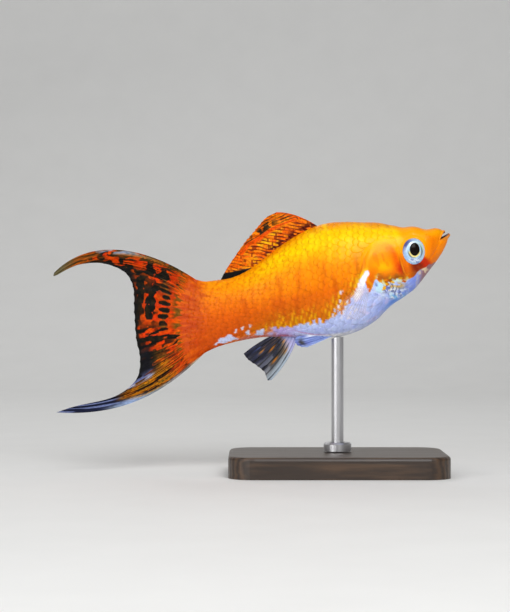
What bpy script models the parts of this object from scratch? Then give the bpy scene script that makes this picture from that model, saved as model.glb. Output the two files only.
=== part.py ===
"""Saffron molly, a still life-size model of the lyretail fish, held by a plain display stand.

Run it with blender --background --python part.py, or from Blender's text editor.
The sizes below are in millimetres and become metres as each mesh is made.
+X is forward, +Y is the fish's left and +Z is up. The fish's own heights are counted from its lowest tail tip.
"""

import math

import bmesh
import bpy
import numpy as np
from mathutils import Matrix, Vector
from mathutils.bvhtree import BVHTree

MM = 0.001

# Main sizes
FISH_LIFT = 14.0
GAP = 0.3
RING_POINTS = 40

# Stand
BASE_LENGTH = 50.0
BASE_DEPTH = 34.0
BASE_THICKNESS = 5.0
BASE_CORNER = 6.0
BASE_EDGE = 0.8
ROD_X = 20.0
ROD_RADIUS = 1.4
ROD_SINK = 3.0
COLLAR_RADIUS = 3.2
COLLAR_HEIGHT = 2.0

# Body sections from the tail stem to the mouth: top x, top z, underside x, underside z, half width,
# height of the widest point from -1 (underside) to 1 (top), and roundness of the crown and of the keel,
# where 2 is an ellipse, less is sharper and more is squarer.
SECTIONS = (
    (-13.9, 29.2, -13.9, 15.0, 0.8, 0.0, 2.0, 2.0),
    (-10.7, 30.4, -10.7, 13.7, 1.7, 0.0, 2.0, 2.0),
    (-7.9, 30.6, -7.9, 15.0, 2.2, 0.0, 2.0, 1.9),
    (-4.3, 31.2, -4.3, 16.1, 2.8, 0.0, 2.0, 1.8),
    (-0.6, 32.9, -0.6, 16.9, 3.4, 0.0, 1.9, 1.7),
    (3.1, 35.6, 3.1, 17.4, 4.1, -0.05, 1.8, 1.7),
    (7.9, 39.2, 7.9, 17.5, 4.9, -0.1, 1.8, 1.8),
    (12.5, 41.9, 12.5, 17.2, 5.6, -0.15, 1.9, 1.9),
    (17.1, 43.6, 17.1, 17.2, 6.1, -0.15, 2.0, 2.0),
    (21.7, 44.0, 21.7, 17.8, 6.3, -0.1, 2.1, 2.0),
    (25.6, 43.9, 25.6, 19.2, 6.3, -0.05, 2.2, 2.0),
    (29.3, 43.8, 29.3, 21.6, 6.1, 0.0, 2.4, 1.9),
    (32.5, 43.2, 32.5, 24.8, 5.7, 0.0, 2.6, 1.8),
    (34.8, 42.7, 35.3, 26.7, 5.3, 0.05, 2.8, 1.8),
    (37.1, 42.8, 38.1, 28.9, 4.9, 0.1, 3.0, 1.8),
    (39.2, 42.6, 40.6, 32.1, 4.4, 0.1, 2.9, 1.9),
    (41.3, 42.4, 42.9, 35.1, 3.8, 0.05, 2.7, 2.0),
    (42.9, 42.4, 44.4, 37.4, 3.2, 0.0, 2.5, 2.1),
    (43.9, 42.3, 45.4, 39.1, 2.7, 0.0, 2.4, 2.2),
    (44.5, 41.9, 46.1, 40.2, 2.2, 0.0, 2.2, 2.2),
)
STEM_START, STEM_END = 3.0, -13.9
NECK = 29.0
SNOUT_END = 44.5

# The tail swings gently to the left, and its two lobes part a little to either side.
SWAY_START = 6.0
SWAY_LENGTH = 52.0
SWAY = 3.0
LOBE_TWIST = 0.10
MIDLINE_HEIGHT = 21.0

# The snout is rounded when seen from above.
NOSE_START = 40.0
NOSE_LENGTH = 5.0
NOSE_ROUND = 0.26

# Head
GAPE = ((44.1, 44.5), (45.8, 44.5), (45.3, 41.6), (44.9, 41.0), (44.2, 39.6), (44.0, 39.8))
JAW_EDGE = ((44.7, 40.6), (44.0, 39.3), (43.4, 38.0), (42.4, 36.6), (41.2, 35.2), (39.8, 33.6), (38.9, 31.4))
GILL_COVER = (
    (28.9, 39.1), (26.6, 35.6), (25.8, 32.9), (26.3, 30.1), (28.2, 28.1), (30.9, 27.4),
    (33.7, 28.1), (35.3, 30.1), (34.4, 33.4), (33.8, 36.3), (32.6, 38.6), (30.9, 39.6),
)
GILL_PLATE_DEPTH = 3.2
GILL_PLATE_PROUD = 0.25
EYE_X, EYE_Z = 37.6, 37.1
EYE_RADII = (2.75, 1.9, 3.2)
EYE_BULGE = 0.75
PUPIL_RADII = (1.35, 0.8, 1.6)
NOSTRILS = ((41.4, 40.6), (40.7, 41.3))
NOSTRIL_RADIUS = 0.32
UPPER_LIP = (44.05, 41.6, 0.30, 0.26, 2.1, 0.48)
LOWER_LIP = (45.55, 40.7, 0.30, 0.20, 1.9, 0.46)

# Fins: half thickness of the membrane, and of a ray at its root and at its tip
MEMBRANE = 0.25
RAY_ROOT = 0.5
RAY_TIP = 0.32

# Leading ray, rays between and last ray of each fin: place across the fin from 0 to 1, root, two points that
# steer the curve, and tip, as x and z.
TAIL_RAYS = (
    (0.00, (-12.0, 30.3), (-23.1, 38.0), (-36.9, 41.2), (-45.9, 32.2)),
    (0.08, (-12.2, 29.6), (-22.8, 36.9), (-35.5, 38.6), (-45.3, 31.6)),
    (0.16, (-12.5, 28.7), (-22.0, 34.6), (-32.0, 37.0), (-40.4, 34.0)),
    (0.24, (-12.7, 27.8), (-21.0, 32.8), (-28.5, 35.4), (-34.6, 34.5)),
    (0.32, (-12.9, 26.6), (-19.5, 30.8), (-25.2, 32.9), (-29.4, 32.6)),
    (0.40, (-13.0, 24.8), (-18.0, 27.3), (-22.7, 28.9), (-26.4, 29.2)),
    (0.50, (-13.0, 22.0), (-17.5, 22.8), (-22.0, 23.3), (-25.7, 23.2)),
    (0.60, (-13.0, 19.2), (-17.5, 18.6), (-22.0, 17.6), (-25.6, 17.0)),
    (0.68, (-12.9, 17.6), (-17.5, 15.8), (-21.8, 13.6), (-25.2, 12.2)),
    (0.76, (-12.6, 16.5), (-17.5, 13.1), (-22.3, 10.0), (-26.5, 7.5)),
    (0.84, (-12.2, 15.6), (-18.0, 10.9), (-25.0, 6.1), (-31.5, 3.7)),
    (0.92, (-11.8, 14.8), (-18.8, 7.8), (-27.5, 2.4), (-40.5, 1.5)),
    (1.00, (-10.9, 13.4), (-19.7, 4.3), (-30.0, -0.9), (-44.8, 0.1)),
)
DORSAL_RAYS = (
    (0.00, (16.2, 42.4), (13.0, 44.8), (9.0, 46.4), (5.9, 46.2)),
    (0.15, (13.8, 41.3), (10.8, 43.2), (7.0, 45.1), (3.6, 45.0)),
    (0.30, (11.8, 40.1), (9.0, 42.0), (5.2, 43.5), (1.9, 43.2)),
    (0.45, (9.8, 39.0), (7.2, 40.7), (3.7, 41.7), (0.3, 41.3)),
    (0.60, (7.6, 37.6), (5.0, 39.2), (2.1, 39.8), (-1.3, 39.4)),
    (0.75, (5.2, 35.9), (2.8, 37.3), (-0.2, 37.5), (-3.1, 36.8)),
    (0.90, (2.0, 33.2), (-0.2, 34.3), (-3.0, 34.1), (-5.8, 32.9)),
    (1.00, (-1.2, 31.0), (-2.9, 32.1), (-4.7, 32.2), (-6.7, 31.9)),
)
ANAL_RAYS = (
    (0.00, (10.7, 18.4), (10.6, 15.0), (8.0, 11.0), (4.9, 7.6)),
    (0.12, (10.2, 18.4), (9.9, 15.0), (7.0, 10.6), (4.0, 7.5)),
    (0.30, (9.4, 18.5), (8.6, 15.4), (6.0, 12.0), (3.2, 9.3)),
    (0.50, (8.6, 18.6), (7.2, 16.0), (4.5, 13.0), (1.6, 10.7)),
    (0.75, (7.5, 18.7), (5.6, 16.6), (2.6, 14.6), (-0.5, 12.2)),
    (1.00, (6.4, 18.8), (4.6, 17.6), (1.3, 16.2), (-1.6, 13.6)),
)
TAIL_RAY_COUNT = 19
TAIL_SPLITS = (0.0, 5 / 18, 13 / 18, 1.0)
LOBE_SPLIT = 0.55
DORSAL_RAY_COUNT = 11
ANAL_RAY_COUNT = 9

# Paired fins, for the right side: root x and z, direction of the middle ray, spread of the rays in degrees,
# length, width of the root, and number of rays
PECTORAL = ((26.2, 29.4), (-0.47, -0.34, -0.82), 17.0, 10.4, 2.2, 8)
PELVIC = ((17.6, 17.9), (-0.955, -0.10, -0.27), 8.0, 8.6, 1.0, 5)
PAIRED_SINK = 1.2
PELVIC_Y = 1.5

# Colours as red, green and blue, then roughness and metallic
FINISHES = {
    "saffron_skin": ((0.95, 0.36, 0.01), 0.32, 0.0),
    "gill_plate": ((0.95, 0.42, 0.02), 0.28, 0.0),
    "pale_jaw": ((0.80, 0.45, 0.35), 0.30, 0.0),
    "patterned_fin": ((0.78, 0.13, 0.01), 0.40, 0.0),
    "clear_fin": ((0.45, 0.48, 0.62), 0.35, 0.0),
    "iris": ((0.60, 0.76, 0.88), 0.15, 0.3),
    "pupil": ((0.005, 0.005, 0.006), 0.05, 0.0),
    "dark_wood": ((0.05, 0.03, 0.02), 0.45, 0.0),
    "steel": ((0.62, 0.62, 0.64), 0.25, 1.0),
}


def clear_scene():
    for old in list(bpy.data.objects):
        bpy.data.objects.remove(old, do_unlink=True)


def material(name):
    found = bpy.data.materials.get(name)
    if found:
        return found
    colour, roughness, metallic = FINISHES[name]
    made = bpy.data.materials.new(name)
    made.use_nodes = True
    shader = made.node_tree.nodes["Principled BSDF"]
    shader.inputs["Base Color"].default_value = (*colour, 1.0)
    shader.inputs["Roughness"].default_value = roughness
    shader.inputs["Metallic"].default_value = metallic
    made.diffuse_color = (*colour, 1.0)
    return made


def collection(name, helper=False):
    made = bpy.data.collections.new(name)
    bpy.context.scene.collection.children.link(made)
    made.hide_render = helper
    return made


def add_object(name, mesh, home, finish=None):
    made = bpy.data.objects.new(name, mesh)
    home.objects.link(made)
    if finish:
        mesh.materials.clear()
        mesh.materials.append(material(finish))
    return made


def mesh_from(name, points, faces):
    """A mesh in metres from points in millimetres, with its faces turned outwards."""
    mesh = bpy.data.meshes.new(name)
    mesh.from_pydata([[c * MM for c in p] for p in points], [], faces)
    shape = bmesh.new()
    shape.from_mesh(mesh)
    bmesh.ops.recalc_face_normals(shape, faces=shape.faces)
    shape.to_mesh(mesh)
    shape.free()
    return mesh


def curve_through(knots, rows, at):
    """Rows of numbers read at one place along the knots, on a smooth curve through them all."""
    knots = np.asarray(knots, float)
    rows = np.asarray(rows, float)
    slopes = np.gradient(rows, knots, axis=0)
    i = int(np.clip(np.searchsorted(knots, at) - 1, 0, len(knots) - 2))
    step = knots[i + 1] - knots[i]
    t = (at - knots[i]) / step
    rise, fall = t * t * (3 - 2 * t), 1 - t * t * (3 - 2 * t)
    lead = t * (1 - t) ** 2 * step
    tail = t * t * (t - 1) * step
    return fall * rows[i] + rise * rows[i + 1] + lead * slopes[i] + tail * slopes[i + 1]


def ring(at):
    """One closed ring of the body, at the place where its top has this x."""
    columns = [row[1:] for row in SECTIONS]
    top_z, low_x, low_z, half, widest, crown, keel = curve_through([row[0] for row in SECTIONS], columns, at)
    centre = np.array([(at + low_x) / 2, 0.0, (top_z + low_z) / 2])
    up = np.array([(at - low_x) / 2, 0.0, (top_z - low_z) / 2])
    points = []
    for k in range(RING_POINTS):
        angle = 2 * math.pi * k / RING_POINTS
        across, rise = math.sin(angle), math.cos(angle)
        power = 2 / (crown if rise >= 0 else keel)
        side = math.copysign(abs(across) ** power, across) * half
        reach = (1 - widest) if rise >= 0 else (1 + widest)
        height = widest + math.copysign(abs(rise) ** power, rise) * reach
        place = centre + up * height
        nose = min(max((place[0] - NOSE_START) / NOSE_LENGTH, 0.0), 1.0)
        points.append((place[0] - NOSE_ROUND * side * side * nose * nose, side, place[2]))
    return points


def body_mesh(name, start, stop, rings):
    """A closed length of the body between two places along its top."""
    points, faces = [], []
    for i in range(rings):
        points += ring(start + (stop - start) * i / (rings - 1))
    for i in range(rings - 1):
        for k in range(RING_POINTS):
            after = (k + 1) % RING_POINTS
            a, b = i * RING_POINTS, (i + 1) * RING_POINTS
            faces.append((a + k, a + after, b + after, b + k))
    for first in (0, (rings - 1) * RING_POINTS):
        loop = range(first, first + RING_POINTS)
        middle = len(points)
        points.append(np.mean([points[k] for k in loop], axis=0))
        for k in range(RING_POINTS):
            faces.append((first + k, first + (k + 1) % RING_POINTS, middle))
    return mesh_from(name, points, faces)


def grown(mesh, distance):
    """The same mesh with its surface moved outwards by a distance in millimetres."""
    shape = bmesh.new()
    shape.from_mesh(mesh)
    shape.normal_update()
    shifts = [v.normal * distance * MM for v in shape.verts]
    for vertex, shift in zip(shape.verts, shifts):
        vertex.co += shift
    made = bpy.data.meshes.new(mesh.name + "_grown")
    shape.to_mesh(made)
    shape.free()
    return made


def rounded_outline(corners, steps):
    """A smooth closed outline through a few corners."""
    count = len(corners)
    wrapped = [corners[(i - 2) % count] for i in range(count + 4)]
    knots = list(range(-2, count + 2))
    return [tuple(curve_through(knots, wrapped, i / steps)) for i in range(count * steps)]


def widened(outline, distance):
    """A closed outline moved outwards, whichever way round it runs."""
    points = np.array(outline, float)
    along = np.roll(points, -1, axis=0) - np.roll(points, 1, axis=0)
    normal = np.stack([along[:, 1], -along[:, 0]], axis=1)
    normal /= np.linalg.norm(normal, axis=1)[:, None]
    x, z = points[:, 0], points[:, 1]
    area = np.sum(x * np.roll(z, -1) - np.roll(x, -1) * z)
    return [tuple(p) for p in points + normal * distance * (1 if area > 0 else -1)]


def prism(name, outline, near, far):
    """A closed block with this outline in x and z, from one y to another."""
    count = len(outline)
    points = [(x, near, z) for x, z in outline] + [(x, far, z) for x, z in outline]
    faces = [tuple(range(count)), tuple(range(count, 2 * count))]
    faces += [(k, (k + 1) % count, count + (k + 1) % count, count + k) for k in range(count)]
    return mesh_from(name, points, faces)


def ball(name, centre, radii, turn=None, segments=24):
    """A stretched ball, turned by a rotation and set at its centre."""
    shape = bmesh.new()
    bmesh.ops.create_uvsphere(shape, u_segments=segments, v_segments=segments // 2, radius=1.0)
    bmesh.ops.rotate(shape, verts=shape.verts, matrix=Matrix.Rotation(math.pi / 2, 3, "X"))
    bmesh.ops.scale(shape, verts=shape.verts, vec=[r * MM for r in radii])
    if turn:
        bmesh.ops.rotate(shape, verts=shape.verts, matrix=turn)
    bmesh.ops.translate(shape, verts=shape.verts, vec=Vector(centre) * MM)
    mesh = bpy.data.meshes.new(name)
    shape.to_mesh(mesh)
    shape.free()
    return mesh


def lip_mesh(name, sizes):
    """A tube along the edge of the mouth, arched over from one corner to the other."""
    front_x, front_z, back, drop, reach, radius = sizes
    curve = bpy.data.curves.new(name, "CURVE")
    curve.dimensions = "3D"
    curve.bevel_depth = radius * MM
    curve.bevel_resolution = 2
    curve.use_fill_caps = True
    line = curve.splines.new("POLY")
    steps = 12
    line.points.add(steps)
    for k in range(steps + 1):
        y = reach * (2 * k / steps - 1)
        place = (front_x - back * y * y, y, front_z - drop * y * y)
        line.points[k].co = (*[c * MM for c in place], 1.0)
        line.points[k].radius = 1.0 - 0.45 * (y / reach) ** 2
    tube = bpy.data.objects.new(name, curve)
    bpy.context.scene.collection.objects.link(tube)
    bpy.context.view_layer.update()
    graph = bpy.context.evaluated_depsgraph_get()
    mesh = bpy.data.meshes.new_from_object(tube.evaluated_get(graph))
    bpy.data.objects.remove(tube)
    shape = bmesh.new()
    shape.from_mesh(mesh)
    bmesh.ops.remove_doubles(shape, verts=shape.verts, dist=0.00001)
    bmesh.ops.recalc_face_normals(shape, faces=shape.faces)
    shape.to_mesh(mesh)
    shape.free()
    return mesh


def combine(target, meshes, operation):
    """Cuts meshes from the target, joins them to it, or keeps what they share, and applies the result."""
    tools = bpy.data.collections.new("tools")
    bpy.context.scene.collection.children.link(tools)
    helpers = [add_object(f"{target.name}_tool_{k}", mesh, tools) for k, mesh in enumerate(meshes)]
    step = target.modifiers.new("combine", "BOOLEAN")
    step.operation = operation
    step.solver = "EXACT"
    if operation == "INTERSECT":
        step.object = helpers[0]
    else:
        step.operand_type = "COLLECTION"
        step.collection = tools
    bpy.context.view_layer.update()
    graph = bpy.context.evaluated_depsgraph_get()
    result = bpy.data.meshes.new_from_object(target.evaluated_get(graph))
    target.modifiers.clear()
    target.data = result
    for helper in helpers:
        bpy.data.objects.remove(helper)
    bpy.data.collections.remove(tools)
    keep_largest(target)


def keep_largest(target):
    """Drops every closed surface of the target but its largest."""
    shape = bmesh.new()
    shape.from_mesh(target.data)
    unseen, groups = set(shape.verts), []
    while unseen:
        group, edge = set(), [unseen.pop()]
        while edge:
            vertex = edge.pop()
            group.add(vertex)
            near = {e.other_vert(vertex) for e in vertex.link_edges} & unseen
            unseen -= near
            edge += near
        groups.append(group)
    groups.sort(key=len)
    for group in groups[:-1]:
        bmesh.ops.delete(shape, geom=list(group), context="VERTS")
    shape.to_mesh(target.data)
    shape.free()


def swim_pose(target):
    """Swings the tail, alike for every piece, so that neighbours stay in touch."""
    for vertex in target.data.vertices:
        x, y, z = (c / MM for c in vertex.co)
        behind = min(max((SWAY_START - x) / SWAY_LENGTH, 0.0), 1.0)
        vertex.co.y += behind * behind * (SWAY + LOBE_TWIST * (z - MIDLINE_HEIGHT)) * MM


def bezier(points, v):
    a, b, c, d = (np.array(p, float) for p in points)
    return a * (1 - v) ** 3 + 3 * b * v * (1 - v) ** 2 + 3 * c * v * v * (1 - v) + d * v**3


def fin_point(rays, u, v):
    """The place across the fin by u and along its rays by v, on its middle surface."""
    rows = [[c for point in ray[1:] for c in point] for ray in rays]
    steer = curve_through([ray[0] for ray in rays], rows, u).reshape(4, 2)
    x, z = bezier(steer, v)
    return np.array([x, 0.0, z])


def ray_thickness(v):
    return RAY_ROOT + (RAY_TIP - RAY_ROOT) * v


def sheet_mesh(name, grid, half, facing=(0.0, 1.0, 0.0)):
    """A thin closed solid about a grid of points, with the same triangles on both faces."""
    grid = np.asarray(grid, float)
    across, along = grid.shape[:2]
    facing = np.asarray(facing, float)
    offset = np.asarray(half)[:, :, None] * facing
    points = np.concatenate([(grid + offset).reshape(-1, 3), (grid - offset).reshape(-1, 3)])
    back = across * along
    faces = []
    for i in range(across - 1):
        for j in range(along - 1):
            a, b = i * along + j, (i + 1) * along + j
            for face in ((a, b, b + 1), (a, b + 1, a + 1)):
                faces.append(face)
                faces.append(tuple(back + k for k in reversed(face)))
    rim = [i * along for i in range(across)]
    rim += [(across - 1) * along + j for j in range(1, along)]
    rim += [i * along + along - 1 for i in range(across - 2, -1, -1)]
    rim += [j for j in range(along - 2, 0, -1)]
    for k, a in enumerate(rim):
        b = rim[(k + 1) % len(rim)]
        faces += [(a, b, back + b), (a, back + b, back + a)]
    return mesh_from(name, points, faces)


def fin_grid(rays, count, low, high, rows, start=0.0, stop=1.0):
    """Columns of points on each ray and between rays from low to high, with their half thickness."""
    last = 2 * (count - 1)
    columns = [k for k in range(last + 1) if low - 1e-6 <= k / last <= high + 1e-6]
    grid, half = [], []
    for k in columns:
        places = [start + (stop - start) * j / (rows - 1) for j in range(rows)]
        grid.append([fin_point(rays, k / last, v) for v in places])
        half.append([MEMBRANE if k % 2 else ray_thickness(v) for v in places])
    return np.array(grid), np.array(half)


def drawn_in(grid, side, distance):
    """Moves one border of the grid towards its neighbours, which leaves half of the gap to the next piece."""
    border, inner = {
        "low": (np.s_[0], np.s_[1]),
        "high": (np.s_[-1], np.s_[-2]),
        "root": (np.s_[:, 0], np.s_[:, 1]),
        "tip": (np.s_[:, -1], np.s_[:, -2]),
    }[side]
    step = grid[inner] - grid[border]
    length = np.linalg.norm(step, axis=1)[:, None]
    grid[border] += step * np.minimum(distance / np.maximum(length, 1e-6), 0.6)


def add_body(home):
    """Head, trunk and tail stem, parted by thin cuts, and the whole body as a mesh for fitting the rest."""
    stem = add_object("tail_stem", body_mesh("tail_stem", STEM_END, STEM_START - GAP / 2, 16), home, "saffron_skin")
    trunk = add_object("trunk", body_mesh("trunk", STEM_START + GAP / 2, NECK - GAP / 2, 20), home, "saffron_skin")
    head = add_object("head", body_mesh("head", NECK + GAP / 2, SNOUT_END, 24), home, "saffron_skin")
    whole = body_mesh("whole", STEM_END, SNOUT_END, 60)
    return stem, trunk, head, whole


def surface(whole, x, z, side):
    """Where the flank is met from the side at this x and z, in millimetres, and the way it faces."""
    tree = BVHTree.FromPolygons([v.co for v in whole.vertices], [p.vertices for p in whole.polygons])
    start = Vector((x, side * 30.0, z)) * MM
    place, normal, _, _ = tree.ray_cast(start, Vector((0.0, -side, 0.0)))
    return place / MM, normal


def facing_turn(normal, side):
    """The rotation that brings the side's direction onto the normal."""
    return Vector((0.0, side, 0.0)).rotation_difference(normal).to_matrix()


def add_eyes(home, head, whole):
    """An eyeball and a pupil on each side, in sockets that leave a thin gap."""
    sockets = []
    for word, side in (("right", -1), ("left", 1)):
        place, normal = surface(whole, EYE_X, EYE_Z, side)
        turn = facing_turn(normal, side)
        centre = place + normal * (EYE_BULGE - EYE_RADII[1])
        front = centre + normal * (EYE_RADII[1] - PUPIL_RADII[1] * 0.55)
        eye = add_object(f"eye_{word}", ball("eye", centre, EYE_RADII, turn), home, "iris")
        hollow = ball("hollow", front, [r + GAP for r in PUPIL_RADII], turn, 20)
        combine(eye, [hollow], "DIFFERENCE")
        add_object(f"pupil_{word}", ball("pupil", front, PUPIL_RADII, turn, 16), home, "pupil")
        sockets.append(ball("socket", centre, [r + GAP for r in EYE_RADII], turn, 28))
    combine(head, sockets, "DIFFERENCE")


def add_gill_covers(home, head, trunk, whole):
    """A slightly raised plate on each side, let into the head and trunk."""
    outline = rounded_outline(GILL_COVER, 3)
    recesses = []
    for word, side in (("right", -1), ("left", 1)):
        plate = add_object(f"gill_cover_{word}", grown(whole, GILL_PLATE_PROUD), home, "gill_plate")
        combine(plate, [prism("plate", outline, side * GILL_PLATE_DEPTH, side * 12.0)], "INTERSECT")
        plate.data.materials.clear()
        plate.data.materials.append(material("gill_plate"))
        recesses.append((outline, side))
    for target in (head, trunk):
        cuts = [
            prism("recess", widened(shape, GAP), side * (GILL_PLATE_DEPTH - GAP), side * 12.0)
            for shape, side in recesses
        ]
        combine(target, cuts, "DIFFERENCE")


def add_jaw(home, head):
    """The lower jaw below the line of the mouth, the open gape, and both lips."""
    combine(head, [prism("gape", GAPE, -8.0, 8.0)], "DIFFERENCE")
    below = [(50.0, JAW_EDGE[0][1]), *JAW_EDGE, (39.5, 29.0), (50.0, 29.0)]
    jaw = add_object("lower_jaw", head.data.copy(), home, "pale_jaw")
    combine(jaw, [prism("jaw_block", below, -8.0, 8.0)], "INTERSECT")
    combine(jaw, [lip_mesh("lower_lip", LOWER_LIP)], "UNION")
    combine(head, [lip_mesh("upper_lip", UPPER_LIP)], "UNION")
    combine(head, [prism("jaw_space", widened(below, GAP), -8.5, 8.5)], "DIFFERENCE")
    pits = []
    for x, z in NOSTRILS:
        for side in (-1, 1):
            place, _ = surface(head.data, x, z, side)
            pits.append(ball("pit", place, [NOSTRIL_RADIUS] * 3, None, 10))
    combine(head, pits, "DIFFERENCE")
    return jaw


def add_tail_fin(home, clearance):
    """The lyretail: a middle fan and two long lobes, each lobe in a root and a tip piece."""
    low, upper, lower, high = TAIL_SPLITS
    pieces = (
        ("tail_fin_middle", upper, lower, 0.0, 1.0, 10, ("low", "high")),
        ("tail_fin_upper", low, upper, 0.0, LOBE_SPLIT, 8, ("high", "tip")),
        ("tail_fin_upper_tip", low, upper, LOBE_SPLIT, 1.0, 9, ("high", "root")),
        ("tail_fin_lower", lower, high, 0.0, LOBE_SPLIT, 8, ("low", "tip")),
        ("tail_fin_lower_tip", lower, high, LOBE_SPLIT, 1.0, 9, ("low", "root")),
    )
    for name, start_u, stop_u, start_v, stop_v, rows, borders in pieces:
        grid, half = fin_grid(TAIL_RAYS, TAIL_RAY_COUNT, start_u, stop_u, rows, start_v, stop_v)
        for side in borders:
            drawn_in(grid, side, GAP / 2)
        fin = add_object(name, sheet_mesh(name, grid, half), home, "patterned_fin")
        if start_v == 0.0:
            combine(fin, [clearance], "DIFFERENCE")


def add_middle_fins(home, clearance):
    for name, rays, count, rows, finish in (
        ("dorsal_fin", DORSAL_RAYS, DORSAL_RAY_COUNT, 9, "patterned_fin"),
        ("anal_fin", ANAL_RAYS, ANAL_RAY_COUNT, 8, "clear_fin"),
    ):
        grid, half = fin_grid(rays, count, 0.0, 1.0, rows)
        fin = add_object(name, sheet_mesh(name, grid, half), home, finish)
        combine(fin, [clearance], "DIFFERENCE")


def paired_grid(root, direction, width_way, sizes, rows):
    """A fan of rays from a short root line, spread in the plane of the direction and the width."""
    spread, length, root_width, count = sizes
    grid, half = [], []
    for k in range(2 * count - 1):
        place = 2 * k / (2 * count - 2) - 1
        angle = math.radians(spread) * place
        way = direction * math.cos(angle) + width_way * math.sin(angle)
        start = root + width_way * root_width / 2 * place
        reach = length * (1 - 0.16 * place * place - 0.10 * place)
        places = [j / (rows - 1) for j in range(rows)]
        grid.append([start + way * reach * v for v in places])
        half.append([MEMBRANE if k % 2 else ray_thickness(v) for v in places])
    return np.array(grid), np.array(half)


def add_paired_fins(home, whole, clearance):
    """Pectoral fins on the flanks behind the gill covers, and pelvic fins folded along the belly."""
    for label, sizes in (("pectoral", PECTORAL), ("pelvic", PELVIC)):
        (root_x, root_z), way, *fan = sizes
        direction = Vector(way).normalized()
        root = Vector((root_x, -PELVIC_Y, root_z))
        if label == "pectoral":
            root, _ = surface(whole, root_x, root_z, -1)
        width_way = Vector((0.0, -1.0, 0.0)).cross(direction).normalized()
        facing = direction.cross(width_way).normalized()
        start = root - direction * PAIRED_SINK
        grid, half = paired_grid(np.array(start), np.array(direction), np.array(width_way), fan, 8)
        for word, mirrored in (("right", (1, 1, 1)), ("left", (1, -1, 1))):
            name = f"{label}_fin_{word}"
            sheet = sheet_mesh(name, grid * mirrored, half, np.array(facing) * mirrored)
            fin = add_object(name, sheet, home, "clear_fin")
            combine(fin, [clearance], "DIFFERENCE")


def add_stand(home, clearance):
    """A flat base with rounded corners, a rod up to the belly and a collar at its foot."""
    bpy.ops.mesh.primitive_cube_add(size=1.0, location=(ROD_X * MM, 0.0, BASE_THICKNESS / 2 * MM))
    base = bpy.context.object
    base.name = "stand_base"
    base.scale = (BASE_LENGTH * MM, BASE_DEPTH * MM, BASE_THICKNESS * MM)
    bpy.ops.object.transform_apply(location=False, rotation=False, scale=True)
    shape = bmesh.new()
    shape.from_mesh(base.data)
    upright = [e for e in shape.edges if abs(e.verts[0].co.z - e.verts[1].co.z) > MM]
    bmesh.ops.bevel(shape, geom=upright, offset=BASE_CORNER * MM, segments=8, affect="EDGES", profile=0.5)
    rim = [e for e in shape.edges if all(v.co.z > 0 for v in e.verts)]
    bmesh.ops.bevel(shape, geom=rim, offset=BASE_EDGE * MM, segments=3, affect="EDGES", profile=0.5)
    shape.to_mesh(base.data)
    shape.free()
    move_home(base, home, "dark_wood")

    foot = BASE_THICKNESS + GAP
    belly = FISH_LIFT + ring(ROD_X)[RING_POINTS // 2][2]
    length = belly + ROD_SINK - foot
    bpy.ops.mesh.primitive_cylinder_add(
        vertices=32, radius=ROD_RADIUS * MM, depth=length * MM,
        location=(ROD_X * MM, 0.0, (foot + length / 2) * MM),
    )
    rod = bpy.context.object
    rod.name = "stand_rod"
    move_home(rod, home, "steel")
    lifted = clearance.copy()
    lifted.transform(Matrix.Translation((0.0, 0.0, FISH_LIFT * MM)))
    combine(rod, [lifted], "DIFFERENCE")

    inner, outer, edge = ROD_RADIUS + GAP, COLLAR_RADIUS, 0.4
    profile = (
        (inner, COLLAR_HEIGHT), (outer - edge, COLLAR_HEIGHT), (outer, COLLAR_HEIGHT - edge), (outer, 0.0), (inner, 0.0),
    )
    mesh = bpy.data.meshes.new("stand_collar")
    count = len(profile)
    mesh.from_pydata([(r * MM, 0.0, z * MM) for r, z in profile], [(k, (k + 1) % count) for k in range(count)], [])
    collar = add_object("stand_collar", mesh, home, "steel")
    collar.location = (ROD_X * MM, 0.0, foot * MM)
    turned = collar.modifiers.new("turned", "SCREW")
    turned.steps = turned.render_steps = 40
    turned.use_merge_vertices = True
    turned.merge_threshold = 0.00001
    turned.use_normal_calculate = True


def move_home(target, home, finish):
    for old in list(target.users_collection):
        old.objects.unlink(target)
    home.objects.link(target)
    target.data.materials.clear()
    target.data.materials.append(material(finish))


def main():
    clear_scene()
    home = collection("saffron_molly")
    stem, trunk, head, whole = add_body(home)
    clearance = grown(whole, GAP)
    add_gill_covers(home, head, trunk, whole)
    add_jaw(home, head)
    add_eyes(home, head, whole)
    add_tail_fin(home, clearance)
    add_middle_fins(home, clearance)
    add_paired_fins(home, whole, clearance)

    fish = bpy.data.objects.new("saffron_molly_fish", None)
    home.objects.link(fish)
    fish.location = (0.0, 0.0, FISH_LIFT * MM)
    for piece in [o for o in home.objects if o.type == "MESH"]:
        swim_pose(piece)
        piece.data.shade_smooth()
        piece.data.set_sharp_from_angle(angle=math.radians(35))
        piece.parent = fish

    add_stand(home, clearance)


main()
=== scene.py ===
"""Looks of the saffron molly: skin, scales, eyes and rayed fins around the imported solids, on a small stand.

Lengths in the tables are millimetres, and the fish's own heights count from its lowest tail tip.
+X is forward, +Y is the fish's left and +Z is up.
"""

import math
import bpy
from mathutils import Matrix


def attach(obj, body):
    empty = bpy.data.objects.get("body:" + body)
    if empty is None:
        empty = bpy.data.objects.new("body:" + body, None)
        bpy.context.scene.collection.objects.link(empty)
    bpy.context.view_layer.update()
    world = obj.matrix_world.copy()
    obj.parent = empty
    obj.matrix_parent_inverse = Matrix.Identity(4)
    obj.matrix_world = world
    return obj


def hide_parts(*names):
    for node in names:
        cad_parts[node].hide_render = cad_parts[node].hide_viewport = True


bl_info = {
    "name": "Saffron molly",
    "version": (1, 0, 0),
    "blender": (4, 5, 0),
    "location": "View3D > Sidebar > Molly",
    "description": "Builds a lyretail molly with scales, painted fins and a display stand",
    "category": "Object",
}

from types import SimpleNamespace

import bmesh
import bpy
import numpy as np
from bpy.props import FloatProperty, FloatVectorProperty, IntProperty, PointerProperty
from mathutils import Vector

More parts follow.
